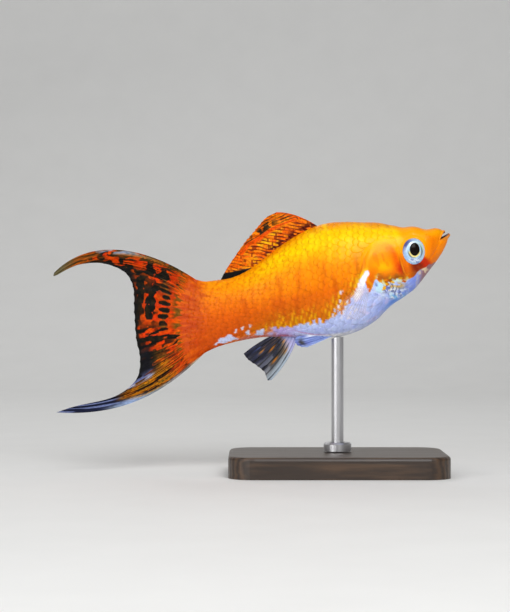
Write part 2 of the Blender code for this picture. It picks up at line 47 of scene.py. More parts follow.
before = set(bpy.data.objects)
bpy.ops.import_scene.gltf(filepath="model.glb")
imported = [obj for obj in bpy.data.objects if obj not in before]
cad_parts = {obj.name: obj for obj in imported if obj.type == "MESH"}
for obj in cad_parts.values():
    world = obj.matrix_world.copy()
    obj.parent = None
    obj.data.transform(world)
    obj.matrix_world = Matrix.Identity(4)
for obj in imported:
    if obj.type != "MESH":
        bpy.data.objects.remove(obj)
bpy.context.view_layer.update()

MM = 0.001
# Height of the fish's lowest tail tip above the floor
LIFT = 14.0

# Body sections from the tail stem to the mouth: top x, top z, underside x, underside z, half width,
# height of the widest point from -1 to 1, and roundness of the crown and of the keel.
SECTIONS = np.array((
    (-13.9, 31.2, -13.9, 10.9, 0.8, 0.0, 2.0, 2.0),
    (-10.7, 30.35, -10.7, 13.6, 1.7, 0.0, 2.0, 2.0),
    (-7.9, 30.6, -7.9, 15.0, 2.2, 0.0, 2.0, 1.9),
    (-4.3, 31.2, -4.3, 16.1, 2.8, 0.0, 2.0, 1.8),
    (-0.6, 32.9, -0.6, 16.9, 3.4, 0.0, 1.9, 1.7),
    (3.1, 35.6, 3.1, 17.4, 4.1, -0.05, 1.8, 1.7),
    (7.9, 39.2, 7.9, 17.5, 4.9, -0.1, 1.8, 1.8),
    (12.5, 41.9, 12.5, 17.2, 5.6, -0.15, 1.9, 1.9),
    (17.1, 43.6, 17.1, 17.2, 6.1, -0.15, 2.0, 2.0),
    (21.7, 44.0, 21.7, 17.8, 6.3, -0.1, 2.1, 2.0),
    (25.6, 43.9, 25.6, 19.2, 6.3, -0.05, 2.2, 2.0),
    (29.3, 43.8, 29.3, 21.6, 6.1, 0.0, 2.4, 1.9),
    (32.5, 43.2, 32.5, 24.8, 5.7, 0.0, 2.6, 1.8),
    (34.8, 42.7, 35.3, 26.7, 5.3, 0.05, 2.8, 1.8),
    (37.1, 42.8, 38.1, 28.9, 4.9, 0.1, 3.0, 1.8),
    (39.2, 42.6, 40.6, 32.1, 4.4, 0.1, 2.9, 1.9),
    (41.3, 42.4, 42.9, 35.1, 3.8, 0.05, 2.7, 2.0),
    (42.9, 42.4, 44.4, 37.4, 3.2, 0.0, 2.5, 2.1),
    (43.9, 42.3, 45.4, 39.1, 2.7, 0.0, 2.4, 2.2),
    (44.5, 41.9, 46.1, 40.2, 2.2, 0.0, 2.2, 2.2),
))
TAIL_END, MOUTH_START = -13.9, 42.6
NOSE_START, NOSE_LENGTH, NOSE_ROUND = 40.0, 5.0, 0.26
SWAY_START, SWAY_LENGTH, SWAY, LOBE_TWIST, MIDLINE = 6.0, 52.0, 3.0, 0.10, 21.0
# Where the skin thins out over the roots of the tail's rays: length, share of the width lost, its curve
THIN_LENGTH, THIN_SHARE, THIN_CURVE = 3.4, 0.97, 0.6

# Length of the part of a scale that shows, which the teeth of the belly line follow, and where scales start
SCALE_PITCH, SCALES_START = 1.45, 36.0

# Head: points of the mouth, direction that the mouth opens in, and thickness of the lips
MOUTH_TOP, MOUTH_CORNER, MOUTH_LOW = (44.3, 42.05), (43.2, 39.6, 2.3), (45.8, 40.7)
MOUTH_WAY = np.array((0.86, 0.0, 0.50))
LIP = 0.36
GILL_COVER = (
    (28.9, 39.1), (27.4, 37.6), (26.2, 35.4), (25.8, 32.9), (26.3, 30.1), (28.0, 28.2), (30.9, 27.4),
    (33.7, 28.1), (35.5, 29.9), (36.2, 31.5), (35.4, 34.0), (34.3, 36.6), (32.8, 39.0), (30.9, 39.8),
)
CHEEK_EDGE = ((34.0, 37.6), (34.5, 36.1), (34.9, 34.2), (35.5, 32.4), (36.6, 31.2))
JAW_LINE = ((43.3, 39.6), (43.3, 38.2), (42.7, 37.0), (41.5, 35.6), (40.3, 34.2))
EYE_X, EYE_Z = 37.2, 37.05
EYE_ACROSS, EYE_DOWN, EYE_MARGIN = 2.52, 2.86, 1.04
PUPIL_ACROSS, PUPIL_DOWN, PUPIL_UP = 1.14, 1.46, 0.45
NOSTRILS = ((41.5, 40.6), (40.7, 41.2))

# Where the saffron flank ends and the pale underside starts, as x and z
BELLY_LINE = np.array((
    (-14.0, 9.0), (-10.0, 14.2), (-8.6, 15.4), (-2.4, 17.6), (2.6, 18.8), (4.6, 19.6), (7.6, 19.7),
    (10.4, 20.2), (13.4, 20.5), (15.6, 21.1), (18.0, 21.5), (19.4, 22.0), (20.8, 23.2), (22.9, 25.5),
    (24.5, 27.6), (26.4, 30.0), (28.4, 30.7), (30.1, 30.0), (32.0, 29.8), (34.8, 30.0), (36.8, 30.6),
    (37.9, 31.6), (39.5, 32.9), (40.7, 33.7), (42.7, 35.0), (46.0, 36.0),
))

# The bright bar across the back fin
BACK_BAR = ((-2.1, 36.9), (-0.4, 38.8), (2.25, 40.3), (4.9, 42.3), (6.4, 43.1), (10.2, 44.5))

# Painted highlights: white glints, each the size of a single scale, above the belly line
PAINTED_GLINTS = (
    (20.8, 27.8), (20.6, 25.6), (20.2, 24.4), (22.3, 25.6), (21.9, 24.1), (23.3, 24.3), (24.0, 26.0),
    (21.5, 23.1), (22.9, 22.9), (24.2, 23.6), (21.0, 22.1), (22.6, 21.9), (19.5, 23.6), (18.9, 22.4),
    (-3.4, 18.8), (-1.9, 19.4),
)

# Pale patches low on the tail stem
STEM_PATCHES = (
    (
        (-8.5, 15.5), (-6.5, 16.0), (-4.4, 16.5), (-2.9, 16.9), (-3.9, 17.5), (-5.1, 18.1), (-6.0, 17.5),
        (-7.1, 17.1),
    ),
    ((-0.7, 17.8), (-0.2, 17.9), (-0.2, 19.0), (0.15, 20.3), (-0.35, 20.4), (-0.55, 19.2), (-1.1, 18.4)),
    ((0.9, 17.7), (3.1, 17.9), (3.2, 19.3), (1.4, 19.0)),
)

# The white patch at the root of the pectoral fin
ARMPIT = (
    (27.0, 32.9), (27.4, 32.0), (26.8, 31.0), (26.4, 29.8), (26.2, 27.9), (25.3, 26.2), (24.2, 25.5),
    (23.5, 26.6), (24.1, 28.2), (24.7, 29.8), (25.4, 31.4), (26.3, 32.6),
)

# Rays that shape each fin: place across it from 0 to 1, root, two steering points and tip, as x and z
TAIL_RAYS = (
    (0.00, (-12.0, 30.3), (-23.1, 38.0), (-36.9, 41.2), (-45.7, 32.2)),
    (0.08, (-12.2, 29.6), (-22.8, 36.9), (-35.5, 38.6), (-45.3, 31.6)),
    (0.16, (-12.5, 28.7), (-22.0, 34.6), (-32.0, 37.0), (-40.4, 34.0)),
    (0.24, (-12.7, 27.8), (-21.0, 32.8), (-28.5, 35.4), (-34.6, 34.5)),
    (0.32, (-12.9, 26.6), (-19.5, 30.8), (-25.2, 32.9), (-29.4, 32.6)),
    (0.40, (-13.0, 24.8), (-18.0, 27.3), (-23.2, 29.0), (-27.3, 29.4)),
    (0.50, (-13.0, 22.0), (-17.5, 22.8), (-22.6, 23.3), (-26.9, 23.2)),
    (0.60, (-13.0, 19.2), (-17.5, 18.6), (-22.4, 17.6), (-26.4, 16.9)),
    (0.68, (-12.9, 17.6), (-17.5, 15.8), (-21.9, 13.6), (-25.5, 12.2)),
    (0.76, (-12.6, 16.5), (-17.5, 13.1), (-22.3, 10.0), (-26.5, 7.5)),
    (0.84, (-12.2, 15.6), (-18.0, 10.9), (-25.0, 6.1), (-31.5, 3.7)),
    (0.92, (-11.8, 14.8), (-18.8, 7.8), (-27.5, 2.4), (-40.5, 1.5)),
    (1.00, (-10.3, 14.1), (-19.8, 4.2), (-30.0, -0.9), (-44.8, 0.1)),
)
BACK_RAYS = (
    (0.00, (16.2, 42.4), (13.0, 44.8), (9.0, 46.36), (5.9, 46.16)),
    (0.15, (13.8, 41.3), (10.8, 43.2), (7.0, 45.1), (3.6, 45.0)),
    (0.30, (11.8, 40.1), (9.0, 42.0), (5.2, 43.5), (1.9, 43.2)),
    (0.45, (9.8, 39.0), (7.2, 40.7), (3.7, 41.7), (0.3, 41.3)),
    (0.60, (7.6, 37.6), (5.0, 39.2), (2.1, 39.8), (-1.3, 39.4)),
    (0.75, (5.2, 35.9), (2.8, 37.3), (-0.2, 37.5), (-3.1, 36.8)),
    (0.90, (2.0, 33.2), (-0.2, 34.2), (-3.0, 33.8), (-5.8, 32.7)),
    (1.00, (-1.2, 30.6), (-2.9, 31.2), (-4.7, 30.7), (-7.0, 30.4)),
)
ANAL_RAYS = (
    (0.00, (10.7, 18.4), (10.6, 15.0), (8.0, 11.0), (4.9, 7.6)),
    (0.12, (10.2, 18.4), (9.9, 15.0), (7.0, 10.6), (4.0, 7.5)),
    (0.30, (9.4, 18.5), (8.6, 15.4), (6.0, 12.0), (3.2, 9.3)),
    (0.50, (8.6, 18.6), (7.2, 16.0), (4.5, 13.0), (1.6, 10.7)),
    (0.75, (7.5, 18.7), (5.6, 16.6), (2.6, 14.6), (-0.5, 12.2)),
    (1.00, (6.4, 18.8), (4.6, 17.6), (1.3, 16.2), (-1.6, 13.6)),
)
# Ochre spots on the anal fin: x, z and length
OCHRE_SPOTS = (
    (2.7, 14.4, 0.8), (5.0, 14.9, 0.9), (5.6, 12.2, 0.9), (8.0, 14.3, 0.8), (7.7, 16.6, 0.5),
    (9.2, 16.3, 0.4),
)
# Paired fins: root x and z, direction of the middle ray, spread in degrees, length, width of the root
PECTORAL = ((25.8, 28.6), (-0.47, -0.34, -0.82), 18.0, 9.8, 1.7)
PELVIC = ((17.6, 17.9), (-0.955, -0.10, -0.27), 8.0, 8.6, 1.0)
PELVIC_Y = 1.5
PAIRED_SINK = 1.2

# The camera's picture: millimetres to the pixel at the fish, its size, and the pixel where x and z are 0
PIXEL, PICTURE_WIDTH, PICTURE_HEIGHT = 0.23, 510, 612
ZERO_ACROSS, ZERO_DOWN = 250.5, 413
# The near flank is nearer to the camera than the fish's middle: middle of the view, and how much it grows
VIEW_X, VIEW_Z, NEARER = 1.0, 24.6, 1.012


def linear(colour):
    """Display colours from 0 to 255 as linear light."""
    c = np.asarray(colour, float) / 255
    return np.where(c <= 0.04045, c / 12.92, ((c + 0.055) / 1.055) ** 2.4)


def ease(low, high, value):
    """0 below low, 1 above high, and a smooth rise between."""
    t = np.clip((value - low) / (high - low), 0, 1)
    return t * t * (3 - 2 * t)


def fall(low, high, value):
    """1 below low, 0 above high, and a smooth fall between."""
    return 1 - ease(low, high, value)


def hump(value, centre, width):
    """1 at the centre, and a smooth fall to 0 on both sides."""
    return np.exp(-(((value - centre) / width) ** 2))


def spot(x, z, centre_x, width, centre_z, height):
    """1 in the middle of a soft oval spot."""
    return hump(x, centre_x, width) * hump(z, centre_z, height)


class Paint:
    """Colours at many places, red, green and blue from 0 to 255, laid one over another."""

    def __init__(self, colours):
        self.colours = np.asarray(colours, float)

    def lay(self, colour, amount):
        """Lays a colour, or other paint, over this paint by an amount from 0 to 1."""
        amount = np.clip(np.asarray(amount, float), 0, 1)[..., None]
        colour = np.asarray(getattr(colour, "colours", colour), float)
        self.colours = self.colours * (1 - amount) + colour * amount
        return self

    def shade(self, share):
        """Darkens or lightens the paint by a share at each place."""
        self.colours = self.colours * share[..., None]
        return self

    def with_alpha(self, alpha):
        """The colours, and how solid each place is."""
        return np.concatenate([self.colours, alpha[..., None]], axis=-1)


def plain(colour, like):
    """One colour at every place of an array."""
    return Paint(np.broadcast_to(np.asarray(colour, float), (*np.shape(like), 3)))


def ramp(value, stops):
    """Paint of the colour at each value, from (place, colour) stops."""
    places = [s[0] for s in stops]
    return Paint(np.stack([np.interp(value, places, [s[1][k] for s in stops]) for k in range(3)], axis=-1))


def hashed(i, j, seed):
    """A repeatable number from 0 to 1 for each pair of whole numbers."""
    n = (i.astype(np.int64) * 374761393 + j.astype(np.int64) * 668265263 + seed * 974634777) & 0xFFFFFFFF
    n = ((n ^ (n >> 13)) * 1274126177) & 0xFFFFFFFF
    return ((n ^ (n >> 16)) & 0xFFFF) / 65535


def noise(x, z, seed=0):
    """Smooth noise from 0 to 1."""
    i, j = np.floor(x), np.floor(z)
    u, v = x - i, z - j
    u, v = u * u * (3 - 2 * u), v * v * (3 - 2 * v)
    a, b = hashed(i, j, seed), hashed(i + 1, j, seed)
    c, d = hashed(i, j + 1, seed), hashed(i + 1, j + 1, seed)
    return (a * (1 - u) + b * u) * (1 - v) + (c * (1 - u) + d * u) * v


def waver(x, z, seed=0):
    """Smooth noise from -0.5 to 0.5."""
    return noise(x, z, seed) - 0.5


def dots(low, high, x, z, seed=0):
    """Soft dots where the noise is above low, and full where it is above high."""
    return ease(low, high, noise(x, z, seed))


def clouds(x, z, seed=0):
    """Noise in three sizes, from 0 to 1."""
    large, middling = noise(x, z, seed), noise(2.1 * x, 2.1 * z, seed + 1)
    return 0.55 * large + 0.3 * middling + 0.15 * noise(4.3 * x, 4.3 * z, seed + 2)


def smooth_curve(knots, rows, at):
    """Rows of numbers read at places along the knots, on smooth curves through them all."""
    knots, rows, at = np.asarray(knots, float), np.asarray(rows, float), np.asarray(at, float)
    slopes = np.gradient(rows, knots, axis=0)
    i = np.clip(np.searchsorted(knots, at) - 1, 0, len(knots) - 2)
    step = (knots[i + 1] - knots[i])[:, None]
    t = (at[:, None] - knots[i][:, None]) / step
    rise = t * t * (3 - 2 * t)
    bend = t * (1 - t) ** 2 * step * slopes[i] + t * t * (t - 1) * step * slopes[i + 1]
    return (1 - rise) * rows[i] + rise * rows[i + 1] + bend


def line_distance(x, z, line):
    """Distance to an open line of points, and how far along it the nearest place is, from 0 to 1."""
    line = np.asarray(line, float)
    best, along = np.full(np.shape(x), 1e9), np.zeros(np.shape(x))
    for k in range(len(line) - 1):
        a, d = line[k], line[k + 1] - line[k]
        t = np.clip(((x - a[0]) * d[0] + (z - a[1]) * d[1]) / (d @ d), 0, 1)
        gap = np.hypot(x - a[0] - t * d[0], z - a[1] - t * d[1])
        along = np.where(gap < best, (k + t) / (len(line) - 1), along)
        best = np.minimum(best, gap)
    return best, along


def outline_depth(x, z, outline):
    """How far a place lies inside a closed outline, negative outside."""
    closed = np.array([*outline, outline[0]], float)
    gap, _ = line_distance(x, z, closed)
    inside = np.zeros(np.shape(x), bool)
    for a, b in zip(closed[:-1], closed[1:]):
        crosses = (a[1] > z) != (b[1] > z)
        with np.errstate(divide="ignore", invalid="ignore"):
            at = a[0] + (z - a[1]) * (b[0] - a[0]) / (b[1] - a[1])
        inside ^= crosses & (x < at)
    return np.where(inside, gap, -gap)


def body_rings(at, steps):
    """Rings of the body, equally spaced round each side from the crown down to the keel."""
    sizes = smooth_curve(SECTIONS[:, 0], SECTIONS[:, 1:], at)
    top_z, low_x, low_z, half, widest, crown, keel = (c[:, None] for c in sizes.T)
    top_x = at[:, None]
    angle = np.linspace(0, math.pi, 241)[None]
    across, rise = np.sin(angle), np.cos(angle)
    power = 2 / np.where(rise >= 0, crown, keel)
    side = np.abs(across) ** power * half
    height = widest + np.sign(rise) * np.abs(rise) ** power * np.where(rise >= 0, 1 - widest, 1 + widest)
    x = (top_x + low_x) / 2 + (top_x - low_x) / 2 * height
    z = (top_z + low_z) / 2 + (top_z - low_z) / 2 * height
    nose = np.clip((x - NOSE_START) / NOSE_LENGTH, 0, 1)
    x = x - NOSE_ROUND * side**2 * nose**2
    flank = np.stack([x, side, z], axis=-1)
    half_steps = steps // 2
    rings = []
    for ring in flank:
        length = np.concatenate([[0], np.cumsum(np.linalg.norm(np.diff(ring, axis=0), axis=1))])
        places = np.linspace(0, length[-1], half_steps + 1)
        left = np.stack([np.interp(places, length, ring[:, k]) for k in range(3)], axis=1)
        right = left[1:-1][::-1] * (1, -1, 1)
        rings.append(np.concatenate([left, right]))
    return np.array(rings)


def sheet_normals(grid):
    """Outward directions on a closed round sheet of rings that runs from the tail to the mouth."""
    along = np.gradient(grid, axis=0)
    around = np.roll(grid, -1, axis=1) - np.roll(grid, 1, axis=1)
    normal = np.cross(along, around)
    length = np.linalg.norm(normal, axis=-1, keepdims=True)
    return normal / np.maximum(length, 1e-9)


def swayed(points):
    """Points of the fish in the pose of the photo, in metres."""
    points = np.array(points, float)
    behind = np.clip((SWAY_START - points[..., 0]) / SWAY_LENGTH, 0, 1)
    points[..., 1] += behind**2 * (SWAY + LOBE_TWIST * (points[..., 2] - MIDLINE))
    points[..., 2] += LIFT
    return points * MM


def seen(x, z):
    """Where a place on the flank shows in the plane that the photo's places are measured in."""
    return VIEW_X + (x - VIEW_X) * NEARER, VIEW_Z + (z - VIEW_Z) * NEARER


def outline_heights(x):
    """Top and underside of the body at x."""
    top = np.interp(x, SECTIONS[:, 0], SECTIONS[:, 1])
    low = np.interp(x, SECTIONS[:, 2], SECTIONS[:, 3])
    return top, low


def above_belly_line(x, z):
    """Height above the jagged line where the saffron flank ends."""
    calm = ease(25.5, 28, x)
    teeth = np.abs(x / SCALE_PITCH % 1 - 0.5) * 2
    jag = (teeth - 0.5) * (0.25 + 0.85 * ease(13.0, 16.0, x)) * (1 - calm) + waver(x / 0.7, z / 3, 5) * 1.3
    line = np.interp(x, BELLY_LINE[:, 0], BELLY_LINE[:, 1])
    tongue = 2.9 * hump(x, 27.4, 0.75) + 0.5 * hump(x, 31.0, 0.8) - 0.4 * hump(x, 29.2, 0.5)
    return z - line - jag * (1 - 0.35 * calm) + tongue


def paint_flank(x, z):
    """Saffron of the back and sides."""
    top, low = outline_heights(x)
    t = np.clip((z - low) / (top - low), 0, 1)
    patch = clouds(x / 5, z / 4, 11) - 0.5
    streak = waver(x / 0.75 + 0.25 * z, z / 5, 12)
    t = np.clip(t + 0.07 * patch + 0.03 * streak, 0, 1)
    middle = ramp(t, (
        (0.10, (208, 122, 0)), (0.22, (214, 102, 0)), (0.38, (230, 106, 0)), (0.50, (252, 136, 0)),
        (0.62, (255, 148, 0)), (0.74, (255, 174, 0)), (0.84, (255, 206, 0)), (0.93, (255, 200, 0)),
        (1.0, (240, 144, 0)),
    ))
    stem = ramp(t, (
        (0.0, (196, 70, 8)), (0.2, (210, 82, 2)), (0.45, (228, 96, 0)), (0.65, (246, 122, 0)),
        (0.85, (255, 150, 0)), (1.0, (246, 150, 0)),
    ))
    paint = middle.lay(stem, fall(-6, 7, x))
    paint.lay((204, 70, 0), 0.85 * fall(-13.5, -9.5, x + 1.2 * patch))
    fan = np.arctan2(z - 22.0, -(x - 2.0)) * 22
    hair = noise(fan * 1.6, x / 2.2, 14)
    root = fall(-14.5, -9.0, x + 2 * (hair - 0.5))
    paint.lay((232, 118, 4), 0.5 * root * ease(0.55, 0.75, hair))
    paint.lay((176, 54, 4), 0.5 * root * fall(0.25, 0.42, hair))
    grit = noise(x / 0.55, z / 0.45, 15)
    paint.lay((190, 62, 0), 0.4 * ease(0.5, 0.7, grit) * fall(-12, -6, x))
    paint.lay((208, 88, 0), 0.28 * ease(0.5, 0.7, grit) * fall(2, 16, x) * ease(-14, -8, x))
    paint.lay((255, 226, 20), 0.5 * ease(0.62, 0.8, t) * hump(x, 17, 9) * ease(0.08, 0.3, streak))
    paint.lay((200, 78, 0), 0.35 * ease(0.05, 0.3, -streak) * fall(0.55, 0.75, t))
    return paint


def paint_head(x, z):
    """Colours of the head, from the nape to the mouth."""
    mottle = clouds(x / 1.6, z / 1.6, 21) - 0.5
    paint = ramp(z + 0.8 * mottle, (
        (29.0, (206, 92, 6)), (31.5, (236, 112, 0)), (34.0, (255, 140, 0)), (37.0, (255, 160, 0)),
        (40.0, (255, 172, 0)), (42.0, (255, 162, 0)), (43.4, (246, 144, 0)),
    ))
    paint.lay((250, 172, 0), 0.7 * spot(x, z, 29.5, 3.4, 40.2, 2.2))
    paint.lay((230, 110, 0), 0.8 * spot(x, z, 33.0, 1.5, 37.4, 2.4))
    paint.lay((255, 196, 0), 0.75 * spot(x, z, 30.6, 2.3, 33.6, 1.3))
    paint.lay((255, 128, 0), 0.7 * ease(39.6, 41.2, x) * fall(40.2, 41.8, z))
    paint.lay((238, 112, 4), 0.5 * hump(x, 42.2, 0.9) * fall(39.5, 41, z))
    paint.lay((236, 86, 0), 0.75 * spot(x, z, 33.5, 0.8, 35.4, 3.0))
    under_eye = 1 - np.hypot((x - 37.9) / 4.4, (z - 33.5) / 3.3)
    paint.lay((206, 44, 2), ease(-0.08, 0.26, under_eye + 0.25 * mottle))
    paint.lay((130, 30, 4), 0.9 * ease(0.35, 0.75, under_eye) * fall(34.2, 35.2, z))
    paint.lay((220, 52, 6), 0.9 * spot(x, z, 35.4, 0.9, 34.4, 1.0))
    paint.lay((150, 66, 20), 0.8 * spot(x, z, 37.4, 2.2, 32.0, 0.9))
    paint.lay((160, 100, 28), 0.8 * spot(x, z, 33.4, 2.4, 30.9, 0.7))
    brush = noise(x / 0.7 + 0.35 * z, z / 1.8, 22)
    paint.lay((228, 116, 0), 0.45 * ease(0.55, 0.75, brush) * hump(x, 30.5, 3.6) * fall(38, 40, z))
    rear = outline_depth(x, z, GILL_COVER)
    paint.lay((255, 206, 20), 0.75 * hump(rear, 0.55, 0.4) * fall(28.2, 29.4, x) * fall(37, 39, z))
    gap, along = line_distance(x, z, CHEEK_EDGE)
    # Painted shade in the grooves beside the cheek edge, and a painted highlight on its raised rim
    paint.lay((112, 44, 8), 0.6 * hump(gap, 0.36, 0.14) * ease(0.1, 0.3, along))
    paint.lay((246, 200, 50), 1.1 * hump(gap, 0, 0.2) * ease(0.3, 0.5, along))
    return paint


def paint_underside(x, z):
    """Lavender belly, blue throat with painted glints, a painted highlight along the belly's lower edge, and
    pale patches on a rosy tail stem.
    """
    _, low = outline_heights(x)
    above = z - low
    cloud = clouds(x / 1.1, z / 0.8, 31)
    paint = plain((194, 208, 255), x)
    paint.lay((180, 192, 255), 0.6 * ease(0.45, 0.7, cloud))
    paint.lay((216, 222, 255), 0.7 * hump(above, 0.3, 0.5) * fall(22, 27, x))
    paint.lay((190, 160, 226), 0.85 * hump(x, 7.0, 3.4) * fall(2.2, 3.4, above))
    paint.lay((150, 170, 246), 0.7 * hump(x, 31.0, 3.5) * hump(above, 1.6, 1.6))
    paint.lay((128, 150, 240), 0.9 * hump(x, 37.5, 2.2) * fall(2.4, 3.6, above))
    # Painted glints: white and pale blue dots on the throat
    glint = dots(0.52, 0.62, x / 0.75 + 0.4 * z, z / 0.55, 33)
    paint.lay((232, 242, 255), glint * spot(x, z, 33.0, 3.6, 28.4, 1.5))
    paint.lay((150, 196, 250), 0.8 * dots(0.5, 0.6, x / 0.9, z / 0.9, 34) * spot(x, z, 30.0, 2.6, 29.0, 1.3))
    paint.lay((70, 130, 240), 0.75 * hump(x, 33.4, 2.2) * hump(above, 0.5, 0.7))
    # Pale dashes in rows on the breast: a scale-edge pattern, partly painted glints
    rows = dots(0.52, 0.66, x / 0.7 - 0.9 * z, z / 0.9 + 0.5 * x, 35)
    paint.lay((226, 208, 244), 0.7 * rows * hump(x, 28.5, 3.8) * hump(above, 2.4, 2.4))
    amber = dots(0.58, 0.66, x / 0.9 + 2, z / 0.55, 38) * spot(x, z, 31.4, 3.0, 29.6, 0.9)
    paint.lay((244, 176, 20), amber)
    ink = dots(0.66, 0.74, x / 0.55 + 0.7 * z, z / 0.8, 39) * spot(x, z, 31.5, 3.6, 28.8, 1.4)
    paint.lay((50, 56, 96), 0.7 * ink)
    tile = dots(0.42, 0.52, x / 0.8 + 0.3 * z, z / 0.8, 46)
    chest = fall(0.7, 1.2, np.hypot((x - 32.3) / 3.6, (z - 27.9) / 1.7))
    paint.lay((232, 242, 255), chest * dots(0.56, 0.64, x / 0.6 + 0.4 * z, z / 0.5, 53))
    paint.lay((84, 96, 170), 0.75 * chest * dots(0.62, 0.7, x / 0.42 - 0.6 * z, z / 0.9, 52))
    paint.lay((196, 232, 250), tile * fall(0.6, 1.2, np.hypot((x - 29.6) / 1.2, (z - 29.0) / 1.5)))
    paint.lay(
        (246, 176, 30), dots(0.4, 0.5, x / 0.7, z / 0.9, 47)
        * fall(0.7, 1.1, np.hypot((x - 31.2) / 1.3, (z - 28.8) / 0.9))
    )
    paint.lay((224, 160, 30), dots(0.46, 0.56, x / 0.9, z / 0.5, 50) * spot(x, z, 33.4, 1.8, 29.5, 0.6))
    paint.lay((120, 196, 250), 0.9 * tile * spot(x, z, 34.0, 1.8, 26.9, 0.6))
    paint.lay((160, 116, 122), ease(38.4, 40.2, x))
    chin = dots(0.55, 0.65, x / 0.5, z / 0.5, 36) * hump(x, 40.0, 1.4)
    paint.lay((236, 214, 176), chin)
    paint.lay((232, 140, 30), ease(43.4, 44.4, x))
    line = z - np.interp(x, (10.0, 12.0, 14.9, 19.8), (19.0, 18.4, 17.95, 17.9))
    paint.lay((196, 104, 150), 0.8 * hump(line, 0, 0.13) * hump(x, 14.0, 3.6))
    # Painted highlight: a white line along the belly's lower edge
    paint.lay((250, 250, 255), 1.1 * hump(line, -0.42, 0.3) * hump(x, 16.0, 4.0))
    paint.lay((206, 96, 110), 0.8 * hump(above, 0.2, 0.3) * hump(x, 7.6, 2.0))
    # Painted highlight: the downward-facing lower edge of the belly painted white
    paint.lay((255, 255, 255), 0.9 * fall(0.3, 0.9, above) * hump(x, 19.5, 4.5))
    stem = fall(3.0, 6.4, x + 2.4 * waver(x / 0.7, z / 0.7, 43))
    rosy = plain((230, 116, 40), x).lay((204, 78, 20), fall(-9, -5, x))
    rosy.lay((206, 112, 104), 0.8 * hump(above, 0.3, 0.5) * ease(-5, -1, x))
    return paint.lay(rosy, stem)


def paint_fish(x, z):
    """Everything that is painted on skin and scales alike."""
    x, z = seen(x, z)
    paint = paint_flank(x, z)
    head = ease(0.0, 1.2, outline_depth(x, z, GILL_COVER)) + ease(33.5, 35.5, x + 0.35 * (z - 41))
    paint.lay(paint_head(x, z), head)
    height = above_belly_line(x, z)
    edge = fall(0.1, 2.2, height) * fall(24, 27, x) * ease(-1, 4, x)
    comb = np.abs((x / SCALE_PITCH + 0.5) % 1 - 0.5) * 2
    paint.lay((250, 186, 20), edge * ease(0.55, 0.85, comb) * 0.9)
    comb = np.abs(((x - 0.25 * z) / 1.04) % 1 - 0.5) * 2
    streaks = (
        ease(0.5, 0.74, comb + 0.3 * waver(x / 0.9, z / 1.2, 40)) * dots(0.26, 0.44, x / 0.9, z / 3.0, 49)
    )
    rear = ease(17, 21, x)
    band = (
        ease(-0.2, 0.6, height) * fall(1.8 + 1.8 * rear, 4.4 + 2.4 * rear, height) * ease(3, 8, x)
        * fall(25.0, 26.6, x)
    )
    paint.lay((216, 122, 4), 0.6 * ease(13, 20, x) * fall(2.5, 6.5, height) * fall(25.5, 27.0, x))
    paint.lay((246, 178, 10), 0.88 * streaks * band)
    paint.lay((186, 102, 4), (0.4 + 0.4 * rear) * fall(0.2, 0.55, comb) * band)
    near_rim = hump(x, 32.6, 4.2)
    paint.lay((140, 76, 14), 0.8 * hump(height, 1.0, 0.9) * near_rim * dots(0.35, 0.6, x / 1.3, z / 0.6, 42))
    paint.lay((246, 190, 10), hump(height, 0.5, 1.0) * near_rim * dots(0.5, 0.6, x / 0.8, z / 0.45, 41))
    paint.lay(
        (206, 236, 250), hump(height, 0.2, 0.8) * near_rim * dots(0.6, 0.68, x / 0.6 + 0.6 * z, z / 0.6, 44)
    )
    paint.lay(paint_underside(x, z), fall(-0.12, 0.12, height))
    # Painted highlights: white glints on single scales
    for glint_x, glint_z in PAINTED_GLINTS:
        gap = np.hypot((x - glint_x - 0.25 * (z - glint_z)) / 0.30, (z - glint_z) / 0.60)
        paint.lay((228, 228, 248), fall(0.6, 1.1, gap))
    for patch in STEM_PATCHES:
        depth = outline_depth(x, z, patch) + 0.45 * waver(x / 0.5, z / 0.5, 45)
        paint.lay((208, 216, 250), ease(-0.12, 0.12, depth))
    patch = outline_depth(x, z, ARMPIT)
    glow = fall(0.0, 0.9, -patch) * fall(25.2, 26.4, x - 0.3 * (z - 29)) * ease(28.4, 30.0, z)
    paint.lay((255, 206, 40), 0.85 * glow)
    paint.lay((210, 204, 244), ease(-0.1, 0.2, patch + 0.4 * waver(x / 0.6, z / 0.6, 48)))
    paint.lay(
        (250, 246, 252), ease(0.0, 0.3, patch) * fall(25.8, 27.0, x - 0.45 * (z - 29)) * ease(24.0, 27.2, z)
    )
    return paint.colours


def mesh_piece(name, points, faces, colours):
    """A new object from points in metres, with its paint as a colour at each point."""
    mesh = bpy.data.meshes.new(name)
    points = np.asarray(points, float).reshape(-1, 3)
    mesh.from_pydata(points.tolist(), [], faces)
    mesh.polygons.foreach_set("use_smooth", [True] * len(mesh.polygons))
    if colours is not None:
        paint = mesh.color_attributes.new("Paint", "FLOAT_COLOR", "POINT")
        colours = np.asarray(colours, float).reshape(len(points), -1)
        rgba = np.ones((len(points), 4))
        rgba[:, :3] = linear(np.clip(colours[:, :3], 0, 255))
        if colours.shape[1] == 4:
            rgba[:, 3] = np.clip(colours[:, 3], 0, 1)
        paint.data.foreach_set("color", rgba.ravel())
    mesh.validate()
    mesh.update()
    made = bpy.data.objects.new(name, mesh)
    bpy.context.scene.collection.objects.link(made)
    return made


def round_sheet_faces(rows, columns):
    """Faces between rings of points, each ring closed on itself."""
    faces = []
    for i in range(rows - 1):
        for j in range(columns):
            k = (j + 1) % columns
            faces.append((i * columns + j, (i + 1) * columns + j, (i + 1) * columns + k, i * columns + k))
    return faces


# Materials


